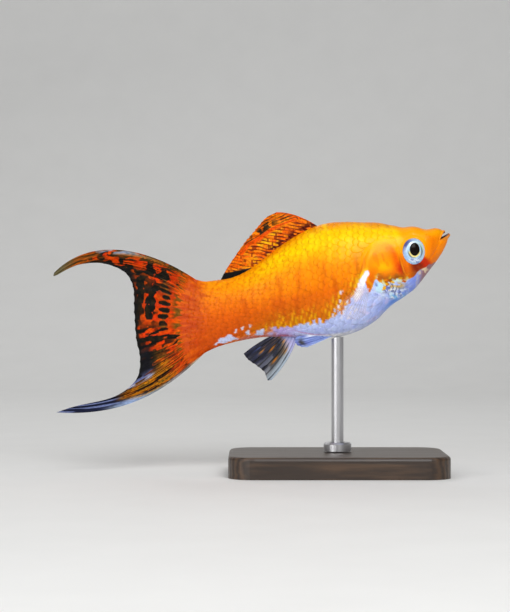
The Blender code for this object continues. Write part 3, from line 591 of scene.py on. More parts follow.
class Finish:
    """A short way to wire a painted material."""

    def __init__(self, name):
        found = bpy.data.materials.get(name)
        self.material = found or bpy.data.materials.new(name)
        self.fresh = found is None
        self.material.use_nodes = True
        self.tree = self.material.node_tree
        self.shader = self.tree.nodes["Principled BSDF"]

    def node(self, kind, **values):
        """A new node, with values for its sockets or, where it has no such socket, for itself."""
        made = self.tree.nodes.new(kind)
        for key, value in values.items():
            if key in made.inputs:
                made.inputs[key].default_value = value
            else:
                setattr(made, key, value)
        return made

    def join(self, start, end):
        """Links one socket to another."""
        self.tree.links.new(start, end)

    def set(self, **values):
        """Sets the shader's own sockets."""
        for key, value in values.items():
            self.shader.inputs[key.replace("_", " ")].default_value = value

    def grain(self, kind, scale, stretch=(1, 1, 1), **values):
        """A texture in object space, pulled along an axis by a stretch."""
        mapping = self.node("ShaderNodeMapping")
        mapping.inputs["Scale"].default_value = stretch
        self.join(self.node("ShaderNodeTexCoord").outputs["Object"], mapping.inputs["Vector"])
        texture = self.node(kind, Scale=scale, **values)
        self.join(mapping.outputs["Vector"], texture.inputs["Vector"])
        return texture

    def spread(self, source, low, high):
        """A value from 0 to 1 carried to another range."""
        made = self.node("ShaderNodeMapRange")
        made.inputs["To Min"].default_value, made.inputs["To Max"].default_value = low, high
        self.join(source, made.inputs["Value"])
        return made.outputs["Result"]

    def tinted(self, source, factor, low, high):
        """Multiplies a colour by a grey between low and high that follows a factor."""
        shade = self.spread(factor, low, high)
        mixed = self.node("ShaderNodeMix", data_type="RGBA", blend_type="MULTIPLY")
        mixed.inputs["Factor"].default_value = 1.0
        grey = self.node("ShaderNodeCombineColor")
        for channel in ("Red", "Green", "Blue"):
            self.join(shade, grey.inputs[channel])
        self.join(source, mixed.inputs["A"])
        self.join(grey.outputs["Color"], mixed.inputs["B"])
        return mixed.outputs["Result"]

    def between(self, factor, first, second):
        """A colour between two, which follows a factor."""
        mixed = self.node("ShaderNodeMix", data_type="RGBA")
        mixed.inputs["A"].default_value = (*first, 1)
        mixed.inputs["B"].default_value = (*second, 1)
        self.join(factor, mixed.inputs["Factor"])
        return mixed.outputs["Result"]

    def bump(self, source, distance, strength, after=None):
        """Raises the surface by a texture, on top of an earlier bump if there is one."""
        made = self.node("ShaderNodeBump", Strength=strength, Distance=distance)
        self.join(source, made.inputs["Height"])
        if after:
            self.join(after, made.inputs["Normal"])
        self.join(made.outputs["Normal"], self.shader.inputs["Normal"])
        return made.outputs["Normal"]


def painted(
    name, speck, shade, rough, height, strength=0.4, stretch=(1, 1, 1), detail=3.0, clear=False, **shader
):
    """A painted material whose fine speckle shades, roughens and raises it, and may let light through."""
    f = Finish(name)
    if f.fresh:
        paint = f.node("ShaderNodeVertexColor", layer_name="Paint")
        speckle = f.grain("ShaderNodeTexNoise", speck, stretch, Detail=detail).outputs["Fac"]
        f.join(f.tinted(paint.outputs["Color"], speckle, *shade), f.shader.inputs["Base Color"])
        f.join(f.spread(speckle, *rough), f.shader.inputs["Roughness"])
        if clear:
            f.join(paint.outputs["Alpha"], f.shader.inputs["Alpha"])
        f.bump(speckle, height, strength)
        f.set(**shader)
    return f.material


def wet_skin():
    """Painted skin with a fine speckle, pores and a wet coat."""
    return painted(
        "glossy saffron skin", 3200, (0.86, 1.12), (0.24, 0.42), 0.00005, 0.5, Specular_IOR_Level=0.08,
        Coat_Weight=0.07, Coat_Roughness=0.10, Subsurface_Weight=0.05, Subsurface_Scale=0.0006,
    )


def scale_skin():
    """Painted scales with a stretched speckle and a pearly gloss."""
    return painted(
        "saffron scales", 1900, (0.76, 1.20), (0.26, 0.44), 0.00004, stretch=(1, 1, 0.6),
        Specular_IOR_Level=0.08, Coat_Weight=0.07, Coat_Roughness=0.14,
    )


def painted_fin():
    """Coloured fin with a fine speckle."""
    return painted(
        "painted fin", 2400, (0.78, 1.15), (0.32, 0.5), 0.00004, detail=4.0,
        Specular_IOR_Level=0.06, Coat_Weight=0.02, Coat_Roughness=0.2,
    )


def clear_fin():
    """See-through membrane between denser rays."""
    return painted("clear fin", 2000, (0.85, 1.1), (0.22, 0.4), 0.00003, clear=True)


def eye_finish():
    """Painted iris under a clear wet surface."""
    return painted(
        "wet eye", 4200, (0.88, 1.1), (0.2, 0.34), 0.00003, 0.3, detail=2.0,
        Coat_Weight=1.0, Coat_Roughness=0.03,
    )


def pupil_finish():
    """Deep black with a faint brown depth."""
    f = Finish("wet pupil")
    if f.fresh:
        depth = f.grain("ShaderNodeTexNoise", 900, Detail=2.0).outputs["Fac"]
        colour = f.between(depth, (0.004, 0.0035, 0.003), (0.010, 0.006, 0.004))
        f.join(colour, f.shader.inputs["Base Color"])
        f.join(f.spread(depth, 0.12, 0.2), f.shader.inputs["Roughness"])
        f.bump(depth, 0.00002, 0.2)
        f.set(Specular_IOR_Level=0.05, Coat_Weight=0.06, Coat_Roughness=0.02)
    return f.material


def stained_wood(light, dark):
    """Dark stained wood with grain along its length and a fine fibre that varies its tone and gloss."""
    f = Finish("stained wood")
    if f.fresh:
        rings = f.grain("ShaderNodeTexWave", 260, (0.16, 1.0, 1.6), Distortion=7.0, Detail=4.0)
        rings.bands_direction = "Y"
        rings = rings.outputs["Fac"]
        fibre = f.grain("ShaderNodeTexNoise", 900, (0.06, 1.0, 1.0), Detail=6.0).outputs["Fac"]
        colour = f.between(f.spread(rings, 0.1, 0.9), dark, light)
        f.join(f.tinted(colour, fibre, 0.65, 1.25), f.shader.inputs["Base Color"])
        f.join(f.spread(fibre, 0.32, 0.55), f.shader.inputs["Roughness"])
        f.bump(rings, 0.00005, 0.4, f.bump(fibre, 0.00008, 0.5))
        f.set(Coat_Weight=0.25, Coat_Roughness=0.3)
    return f.material


def brushed_rod():
    """Steel with fine lines along the rod."""
    f = Finish("brushed rod")
    if f.fresh:
        lines = f.grain("ShaderNodeTexNoise", 5200, (1.0, 1.0, 0.03), Detail=4.0).outputs["Fac"]
        f.join(f.between(lines, (0.50, 0.50, 0.52), (0.72, 0.72, 0.74)), f.shader.inputs["Base Color"])
        f.join(f.spread(lines, 0.22, 0.42), f.shader.inputs["Roughness"])
        f.bump(lines, 0.00002, 0.4)
        f.set(Metallic=1.0)
    return f.material


def coat(piece, material):
    """Gives a piece one material."""
    piece.data.materials.clear()
    piece.data.materials.append(material)


def dress(piece, material):
    """Gives a piece its material, and fixes it to the model."""
    coat(piece, material)
    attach(piece, "root")


# Skin


def mouth_rim(columns):
    """The edge of both lips, from the middle of the upper lip round the left corner and back."""
    half = columns // 2
    place = np.linspace(0, 1, half + 1)
    corner = 0.62
    upper = np.cos(np.clip(place / corner, 0, 1) * math.pi / 2)
    lower = np.cos(np.clip((1 - place) / (1 - corner), 0, 1) * math.pi / 2)
    x = MOUTH_CORNER[0] + (MOUTH_TOP[0] - MOUTH_CORNER[0]) * upper + (MOUTH_LOW[0] - MOUTH_CORNER[0]) * lower
    z = MOUTH_CORNER[1] + (MOUTH_TOP[1] - MOUTH_CORNER[1]) * upper + (MOUTH_LOW[1] - MOUTH_CORNER[1]) * lower
    turn = np.where(place < corner, np.clip(place / corner, 0, 1), np.clip((1 - place) / (1 - corner), 0, 1))
    y = MOUTH_CORNER[2] * np.sin(turn * math.pi / 2)
    left = np.stack([x, y, z], axis=1)
    return np.concatenate([left, left[1:-1][::-1] * (1, -1, 1)])


def scaled_area(x, z):
    """1 where scales grow, 0 on the bare head, gill cover and throat."""
    x, z = seen(x, z)
    nape = fall(32.6, 34.4, x + 0.35 * (z - 41))
    cover = fall(-1.0, -0.3, outline_depth(x, z, GILL_COVER))
    throat = 1 - ease(30.0, 32.5, x) * fall(30, 34, z)
    return nape * cover * throat


def skin_relief(x, z):
    """How far the skin stands out of the smooth body, in millimetres."""
    scaled = scaled_area(x, z)
    eye = np.hypot((x - EYE_X) / EYE_ACROSS, (z - EYE_Z) / EYE_DOWN)
    x, z = seen(x, z)
    cover = outline_depth(x, z, GILL_COVER)
    relief = -0.10 * scaled
    lift = ease(-0.12, 0.18, cover) * fall(30.5, 35.5, x) * fall(35.0, 39.0, z)
    relief = (
        relief + 0.1 * lift
        - 0.07 * hump(cover, -0.2, 0.25) * fall(31, 34, x) * (1 - 0.7 * ease(35.0, 39.0, z))
    )
    gap, along = line_distance(x, z, CHEEK_EDGE)
    relief = relief - 0.10 * hump(gap, 0.28, 0.18) + 0.05 * hump(gap, 0, 0.22)
    gap, along = line_distance(x, z, JAW_LINE)
    relief = relief - 0.12 * hump(gap, 0, 0.22) * fall(0.75, 1.0, along)
    for fold in range(3):
        height = np.interp(x, (31, 36, 39.5), (26.3 + fold * 0.9, 27.9 + fold * 0.9, 31.0 + fold * 0.8))
        relief = relief - 0.07 * hump(z, height, 0.18) * ease(31.5, 33.5, x) * fall(38, 39.5, x)
    relief = relief + 0.14 * hump(eye, 1.12, 0.10)
    relief = relief - 1.5 * fall(0.9, 1.02, eye)
    relief = relief + 0.2 * spot(x, z, 37.6, 1.6, 42.2, 0.9) - 0.28 * spot(x, z, 40.5, 1.2, 42.6, 0.8)
    relief = relief + 0.12 * spot(x, z, 42.9, 0.9, 42.4, 0.8)
    for nx, nz in NOSTRILS:
        pit = np.hypot(x - nx, z - nz)
        relief = relief - 0.22 * fall(0.08, 0.24, pit) + 0.03 * hump(pit, 0.3, 0.1)
    dimples = clouds(x / 0.8, z / 0.8, 61) - 0.5
    return relief + 0.05 * dimples * (1 - scaled) * fall(0.0, 0.1, 1.05 - eye)


def build_skin(rows, columns):
    """One skin over head, jaw, gill covers, trunk and tail stem, with lips and a mouth."""
    at = np.linspace(TAIL_END, MOUTH_START, rows)
    grid = body_rings(at, columns)
    normal = sheet_normals(grid)
    grid = grid + normal * skin_relief(grid[..., 0], grid[..., 2])[..., None]
    layers = list(grid)
    paints = [paint_fish(ring[:, 0], ring[:, 2]) for ring in body_rings(at, columns)]

    # Towards the tail fin the skin thins out over the roots of the rays.
    base, steps, root_height, gather = layers[0], 8, 22.1, 0.06
    for k in range(1, steps + 1):
        t = k / steps
        ring = base * (1, 1 - THIN_SHARE * t**THIN_CURVE, 1) + (-THIN_LENGTH * t, 0, 0)
        ring[:, 2] += (root_height - ring[:, 2]) * gather * t * t
        layers.insert(0, ring)
        paints.insert(0, paint_fish(ring[:, 0], ring[:, 2]))

    # Lips: the last ring runs on to the rim, rolls over it and back into the mouth.
    last, rim = layers[-1], mouth_rim(columns)
    middle = rim.mean(axis=0)
    inward = middle - rim
    inward -= (inward @ MOUTH_WAY)[:, None] * MOUTH_WAY
    inward /= np.maximum(np.linalg.norm(inward, axis=1, keepdims=True), 1e-6)
    lead = last - layers[-2]
    lead /= np.maximum(np.linalg.norm(lead, axis=1, keepdims=True), 1e-6)
    reach = np.linalg.norm(rim - last, axis=1, keepdims=True)
    steps = 16
    for k in range(1, steps + 1):
        t = k / steps
        share = ease(0, 1, t)
        ring = last * (1 - share) + rim * share + lead * reach * t * (1 - t) ** 2
        groove = -0.14 * hump(t, 0.66, 0.14) + 0.05 * hump(t, 0.95, 0.14)
        ring = ring - inward * groove
        layers.append(ring)
        paint = Paint(paint_fish(ring[:, 0], ring[:, 2]))
        paints.append(paint.lay((250, 160, 30), 0.75 * ease(0.5, 0.9, t)).colours)
    steps = 8
    for k in range(1, steps + 1):
        turn = math.pi * k / steps
        ring = rim + inward * LIP * (1 - math.cos(turn)) + MOUTH_WAY * LIP * math.sin(turn) * 0.8
        layers.append(ring)
        # Painted shade: the lip darkens as it rolls into the mouth
        paints.append(plain((232, 140, 44), rim[:, 0]).lay((120, 50, 26), ease(0.4, 1.0, k / steps)).colours)
    inner, steps, depth, narrowing = layers[-1], 6, 2.4, 0.9
    for k in range(1, steps + 1):
        t = k / steps
        ring = inner + (inner.mean(axis=0) - inner) * (narrowing * t * t) - MOUTH_WAY * depth * t
        layers.append(ring)
        # Painted shade: the inside of the mouth darkens deeper in
        paints.append(np.full((columns, 3), (70 - 40 * t, 26 - 16 * t, 18 - 8 * t)))

    rows = len(layers)
    points = np.concatenate(layers)
    colours = np.concatenate(paints)
    faces = [tuple(reversed(f)) for f in round_sheet_faces(rows, columns)]
    for first, flip in ((0, False), ((rows - 1) * columns, True)):
        loop = list(range(first, first + columns))
        hub = len(points)
        points = np.concatenate([points, points[loop].mean(axis=0, keepdims=True)])
        colours = np.concatenate([colours, colours[loop].mean(axis=0, keepdims=True)])
        for k in range(columns):
            a, b = loop[k], loop[(k + 1) % columns]
            faces.append((b, a, hub) if flip else (a, b, hub))
    skin = mesh_piece("molly_skin", swayed(points), faces, colours)
    outwards(skin)
    return skin


def outwards(piece):
    """Turns every face of a closed piece outwards."""
    shape = bmesh.new()
    shape.from_mesh(piece.data)
    bmesh.ops.recalc_face_normals(shape, faces=shape.faces)
    shape.to_mesh(piece.data)
    shape.free()


# Scales


class BodySheet:
    """The smooth body as a sheet that can be read at any place along it and round each side."""

    def __init__(self, rows=300, columns=240):
        self.at = np.linspace(TAIL_END, MOUTH_START, rows)
        self.rings = body_rings(self.at, columns)
        self.normals = sheet_normals(self.rings)
        self.half = columns // 2
        steps = np.linalg.norm(np.diff(self.rings[:, : self.half + 1], axis=1), axis=2)
        self.arc = steps.sum(axis=1)

    def read(self, at, down, side):
        """Place and outward direction at a place along the top, and a share of the way down the side."""
        share = (at - self.at[0]) / (self.at[-1] - self.at[0])
        i = np.clip(share * (len(self.at) - 1), 0, len(self.at) - 1.001)
        over_edge = np.where((down < 0) | (down > 1), -1.0, 1.0)
        down = np.where(down < 0, -down, np.where(down > 1, 2 - down, down))
        j = np.clip(down, 0, 0.9999) * self.half
        i0, j0 = np.floor(i).astype(int), np.floor(j).astype(int)
        u, v = (i - i0)[..., None], (j - j0)[..., None]
        found = []
        for source in (self.rings, self.normals):
            near = source[i0, j0] * (1 - v) + source[i0, j0 + 1] * v
            far = source[i0 + 1, j0] * (1 - v) + source[i0 + 1, j0 + 1] * v
            both = (near * (1 - u) + far * u) * (1, side, 1)
            both[..., 1] *= over_edge
            if source is self.rings:
                beyond = np.clip((TAIL_END - at) / THIN_LENGTH, 0, 1)
                both[..., 0] -= THIN_LENGTH * beyond
                both[..., 1] *= 1 - THIN_SHARE * beyond**THIN_CURVE
            found.append(both)
        return found

    def find(self, x, z, side):
        """Place and outward direction on the flank at x and z."""
        at, down = np.array([x]), np.array([0.5])
        tries, pace = 40, 0.8
        for _ in range(tries):
            place, normal = self.read(at, down, side)
            at = at + pace * (x - place[:, 0])
            arc = np.interp(at, self.at, self.arc)
            down = np.clip(down + pace * (place[:, 2] - z) / arc, 0.02, 0.98)
        return place[0], normal[0]


def build_scales(side, rows, pitch, seed):
    """Overlapping scales on one flank, each a thin closed flake that lifts towards its rear edge."""
    sheet = BodySheet()
    word = "left" if side > 0 else "right"
    across_steps, along_steps = 9, 7
    along = np.repeat(np.arange(along_steps + 1) / along_steps, across_steps)
    across = np.tile(2 * np.arange(across_steps) / (across_steps - 1) - 1, along_steps + 1)
    widest, reach = 0.45, 0.57
    half_height = np.sqrt(np.clip(1 - ((along - widest) / reach) ** 2, 0.03, 1))

    # Roots: columns from the nape to the tail stem that lean forward towards the back
    def pitch_at(at):
        """Length from one column to the next, less towards the tail."""
        return pitch * np.interp(at, (-12, 20), (0.82, 1.0))

    at, starts = SCALES_START, []
    while at > TAIL_END - 1.7:
        starts.append(at)
        at -= pitch_at(at)
    column, row = np.meshgrid(np.arange(len(starts)), np.arange(-1, rows), indexing="ij")
    column, row = column.ravel(), row.ravel()
    at = np.array(starts)[column]
    step = pitch_at(at)
    down = (row + 0.5 + 0.5 * (column % 2)) / rows
    at = at + 2.2 * (0.5 - down) + 0.5 * step * (hashed(column, row, seed + 40) - 0.5)
    root, _ = sheet.read(at, down, side)
    frayed = hashed(column, row, seed + 20) * 2.2
    grows = (scaled_area(root[:, 0], root[:, 2]) > 0.5) & (at > TAIL_END + 1.4 - frayed) & (down >= 0)
    if side < 0:
        grows &= (down > 0.001) & (down < 0.999)
    column, row, at, step, down = (value[grows] for value in (column, row, at, step, down))

    wobble = (hashed(column, row, seed) - 0.5)[:, None]
    length = step[:, None] * 2.05 * (1 + 0.06 * wobble)
    places_at = at[:, None] + 0.55 * step[:, None] - along * length
    places_down = down[:, None] + across * half_height * 0.66 / rows
    position, normal = sheet.read(places_at, places_down, side)
    lift = -0.10 + 0.052 * ease(0.05, 0.9, along) + 0.015 * (1 - across**2) + 0.01 * wobble
    centre = np.stack([column / 40, down * 0.5 + (0.5 if side > 0 else 0.0)], axis=1) * 0.94 + 0.03
    uv = centre[:, None] + np.stack([along - 0.5, across * 0.5], axis=1) * 0.003

    paint = Paint(paint_fish(position[..., 0], position[..., 2]))
    # Painted shade: the front of each scale, tucked under the scale before it, is painted darker; each
    # scale's tone also differs at random
    paint.shade(1 + 0.05 * wobble - 0.05 * fall(0.4, 0.7, along))
    edge = ease(0.80, 1.0, np.hypot((along - widest) / reach, across * 0.98)) * ease(0.55, 0.8, along)
    height = above_belly_line(position[..., 0], position[..., 2])
    paint.lay((214, 92, 0), 0.12 * edge * ease(0.0, 0.6, height))
    paint.lay((214, 216, 250), 0.25 * edge * fall(-0.6, 0, height))

    # Each scale: its upper face, a rim just below it and a keel point under the middle
    rim = list(range(across_steps)) + [i * across_steps + across_steps - 1 for i in range(1, along_steps + 1)]
    rim += [along_steps * across_steps + j for j in range(across_steps - 2, -1, -1)]
    rim += [i * across_steps for i in range(along_steps - 1, 0, -1)]
    upper = position + normal * lift[..., None]
    lower = position[:, rim] + normal[:, rim] * (lift[:, rim] - 0.05)[..., None]
    keel = position.mean(axis=1, keepdims=True) - 0.22 * normal.mean(axis=1, keepdims=True)
    points = np.concatenate([upper, lower, keel], axis=1)
    paint = paint.colours
    colours = np.concatenate([paint, paint[:, rim], paint.mean(axis=1, keepdims=True)], axis=1)
    uv = np.concatenate([uv, uv[:, rim], uv.mean(axis=1, keepdims=True)], axis=1)
    count, total = len(along), len(rim)
    flake = []
    for i in range(along_steps):
        for j in range(across_steps - 1):
            a, b = i * across_steps + j, (i + 1) * across_steps + j
            flake.append((a, a + 1, b + 1, b))
    for k in range(total):
        a, b = rim[k], rim[(k + 1) % total]
        c, d = count + (k + 1) % total, count + k
        flake += [(b, a, d, c), (c, d, count + total)]
    if side < 0:
        flake = [tuple(reversed(face)) for face in flake]
    each = points.shape[1]
    faces = [tuple(first + k for k in face) for first in range(0, len(points) * each, each) for face in flake]
    scales = mesh_piece(f"molly_scales_{word}", swayed(points.reshape(-1, 3)), faces, colours.reshape(-1, 3))
    layer = scales.data.uv_layers.new(name="OFBake")
    corners = np.zeros(len(scales.data.loops), int)
    scales.data.loops.foreach_get("vertex_index", corners)
    layer.data.foreach_set("uv", uv.reshape(-1, 2)[corners].astype(np.float32).ravel())
    return scales


# Eyes


def dome_faces(layers, turns):
    """Faces of a closed dome: a first point, rings round it and a last point."""
    faces = [(0, 1 + k, 1 + (k + 1) % turns) for k in range(turns)]
    for i in range(layers - 1):
        for k in range(turns):
            a, b = 1 + i * turns, 1 + (i + 1) * turns
            faces.append((a + k, b + k, b + (k + 1) % turns, a + (k + 1) % turns))
    end, last = 1 + layers * turns, 1 + (layers - 1) * turns
    return faces + [(last + k, end, last + (k + 1) % turns) for k in range(turns)]


def build_eye(side):
    """A domed eye with a painted iris, and its pupil."""
    word = "left" if side > 0 else "right"
    sheet = BodySheet()
    centre, normal = sheet.find(EYE_X, EYE_Z, side)
    normal = normal / np.linalg.norm(normal)
    forward = np.array([1.0, 0, 0]) - normal[0] * normal
    forward /= np.linalg.norm(forward)
    up = np.cross(forward, normal) * (1 if side < 0 else -1)
    up *= np.sign(up[2])
    rings, turns, pupil_rings = 36, 96, 12
    across, down = EYE_ACROSS * EYE_MARGIN, EYE_DOWN * EYE_MARGIN
    angle = np.arange(turns) * 2 * math.pi / turns

    def ovals(shares, width, height):
        """Places on nested ovals: those across and those up."""
        p = np.concatenate([width * share * np.cos(angle) for share in shares])
        return p, np.concatenate([height * share * np.sin(angle) for share in shares])

    def dome(p, q):
        """Height of the eye's front at a place from its middle."""
        bulge, sink = 0.95, 0.16
        r = np.clip(np.hypot(p / across, q / down), 0, 1)
        return bulge * (1 - r**2.3) ** 0.75 - sink

    def lens(points_p, points_q, height):
        """Points in the fish's frame, from places across the eye and heights over it."""
        return centre + np.outer(points_p, forward) + np.outer(points_q, up) + np.outer(height, normal)

    shares = np.sin(np.linspace(0, 1, rings + 1) * math.pi / 2)
    p, q = (np.insert(places, 0, 0) for places in ovals(shares[1:], across, down))
    back_shares, back_heights = (0.92, 0.6), (-0.9, -1.6)
    back = lens(*ovals(back_shares, across, down), np.repeat(back_heights, turns))
    points = np.concatenate([lens(p, q, dome(p, q)), back, lens([0], [0], [-1.8])])
    paint = np.concatenate([paint_iris(p, q), np.full((len(points) - len(p), 3), (90, 100, 140.0))])
    eye = mesh_piece(f"molly_eye_{word}", swayed(points), dome_faces(rings + len(back_shares), turns), paint)
    outwards(eye)

    shares = np.linspace(0, 1, pupil_rings + 1)
    p, q = (np.insert(places, 0, 0) for places in ovals(shares[1:], PUPIL_ACROSS, PUPIL_DOWN))
    q = q + PUPIL_UP
    share = np.concatenate([[0], np.repeat(shares[1:], turns)])
    front = lens(p, q, dome(p, q) + 0.10 * (1 - share**2) ** 0.5 + 0.012)
    points = np.concatenate([front, lens([0], [PUPIL_UP], [0.1])])
    pupil = mesh_piece(f"molly_pupil_{word}", swayed(points), dome_faces(pupil_rings, turns), None)
    outwards(pupil)
    return eye, pupil


def paint_iris(p, q):
    """Pale blue ring with a darker rim, a yellow crescent under the pupil and silver below."""
    r = np.hypot(p / EYE_ACROSS, q / EYE_DOWN)
    inner = np.hypot(p / PUPIL_ACROSS, (q - PUPIL_UP) / PUPIL_DOWN)
    angle = np.arctan2(q, p)

    def toward(at, reach):
        """1 at an angle round the eye, and less to both sides of it."""
        return hump((angle - at + math.pi) % (2 * math.pi) - math.pi, 0.0, reach)

    paint = plain((176, 212, 240), p)
    wave = clouds(p / 0.5, q / 0.5, 71)
    paint.lay((214, 240, 250), 0.9 * hump(r, 0.74, 0.14) * ease(-0.4, 0.6, q))
    paint.lay((70, 78, 142), ease(0.72, 0.88, r) * toward(2.5, 0.8))
    paint.lay((150, 190, 236), 0.7 * ease(0.62, 0.85, r) * toward(-2.4, 0.8))
    paint.lay((206, 206, 236), 0.8 * ease(0.82, 0.95, r) * toward(0.0, 0.8))
    paint.lay((56, 64, 70), hump(r, 0.7, 0.065) * toward(0.0, 0.8))
    paint.lay((176, 212, 176), 0.7 * hump(r, 0.8, 0.08) * toward(0.55, 0.5))
    paint.lay((240, 240, 250), 0.8 * ease(0.3, 0.6, wave) * fall(-2.0, -1.4, q) * fall(0.85, 0.95, r))
    paint.lay((104, 124, 190), 0.8 * ease(0.56, 0.66, wave) * fall(-1.5, -1.0, q))
    paint.lay((48, 46, 34), 0.95 * hump(inner, 1.36, 0.11) * toward(-2.45, 0.55))
    crescent = hump(inner, 1.14, 0.13) * fall(-0.5, 0.3, q)
    paint.lay((250, 226, 120), 1.2 * crescent)
    return paint.lay((30, 28, 26), fall(0.98, 1.05, inner)).colours


# Fins


def steered(rays, u, v):
    """Places across and along a fin, x and z, for arrays of u and v."""
    rows = np.array([[c for point in ray[1:] for c in point] for ray in rays])
    flat = smooth_curve([ray[0] for ray in rays], rows, np.ravel(u)).reshape(-1, 4, 2)
    w = np.ravel(v)[:, None]
    place = (
        flat[:, 0] * (1 - w) ** 3 + 3 * flat[:, 1] * w * (1 - w) ** 2 + 3 * flat[:, 2] * w ** 2 * (1 - w)
        + flat[:, 3] * w ** 3
    )
    return place.reshape(*np.shape(u), 2)


def fin_grid(columns, rows):
    """Places across and along a fin, from 0 to 1."""
    return np.meshgrid(np.linspace(0, 1, columns), np.linspace(0, 1, rows), indexing="ij")


def ray_ridge(c, v, branch_at):
    """Height of the rays from 0 to 1, each split in two past a share of its length."""
    whole = np.abs(c - np.round(c))
    fork = ease(branch_at, 1.0, v) * 0.24
    forked = np.minimum(np.abs(whole - fork), np.abs(whole + fork))
    return np.where(v < branch_at, hump(whole, 0, 0.17), hump(forked, 0, 0.13))


def fin_solid(name, middle, half, facing, colours):
    """A closed thin fin about its middle sheet."""
    across, along = middle.shape[:2]
    offset = half[..., None] * facing
    points = np.concatenate([(middle + offset).reshape(-1, 3), (middle - offset).reshape(-1, 3)])
    back = across * along
    faces = []
    for i in range(across - 1):
        for j in range(along - 1):
            a, b = i * along + j, (i + 1) * along + j
            faces.append((a, b, b + 1, a + 1))
            faces.append((back + a, back + a + 1, back + b + 1, back + b))
    rim = [i * along for i in range(across)] + [(across - 1) * along + j for j in range(1, along)]
    rim += [i * along + along - 1 for i in range(across - 2, -1, -1)] + list(range(along - 2, 0, -1))
    for k, a in enumerate(rim):
        b = rim[(k + 1) % len(rim)]
        faces.append((b, a, back + a, back + b))
    colours = colours.reshape(back, -1)
    fin = mesh_piece(name, swayed(points), faces, np.concatenate([colours, colours]))
    outwards(fin)
    return fin


def middle_fin(name, rays, count, columns_between, rows, branch_at, thickness, painter, ragged):
    """A fin in the fish's middle plane, from its shaping rays.

    The thickness is half the membrane's and how far a ray stands out of it, both in millimetres.
    """
    u, v = fin_grid((count - 1) * columns_between + 1, rows)
    c = u * (count - 1)
    ridge = ray_ridge(c, v, branch_at)
    cell = np.abs(c % 1 - 0.5) * 2
    trim = ragged * (1 - cell**2) * ease(0.7, 1.0, v) * hump(u, 0.5, 0.4)
    place = steered(rays, u, v * (1 - trim))
    joints_along = 30
    joints = 0.5 + 0.5 * np.sin(v * joints_along * 2 * math.pi)
    half = thickness[0] + (thickness[1] * (1 - 0.75 * v)) * ridge * (0.85 + 0.15 * joints)
    half = half * (1 - 0.55 * ease(0.9, 1.0, v))
    ripple = 0.22 * np.sin(c * math.pi) * v
    middle = np.stack([place[..., 0], ripple, place[..., 1]], axis=-1)
    sheet = SimpleNamespace(x=place[..., 0], z=place[..., 1], u=u, v=v, c=c, ridge=ridge)
    return fin_solid(name, middle, half, np.array([0.0, 1.0, 0.0]), painter(sheet))


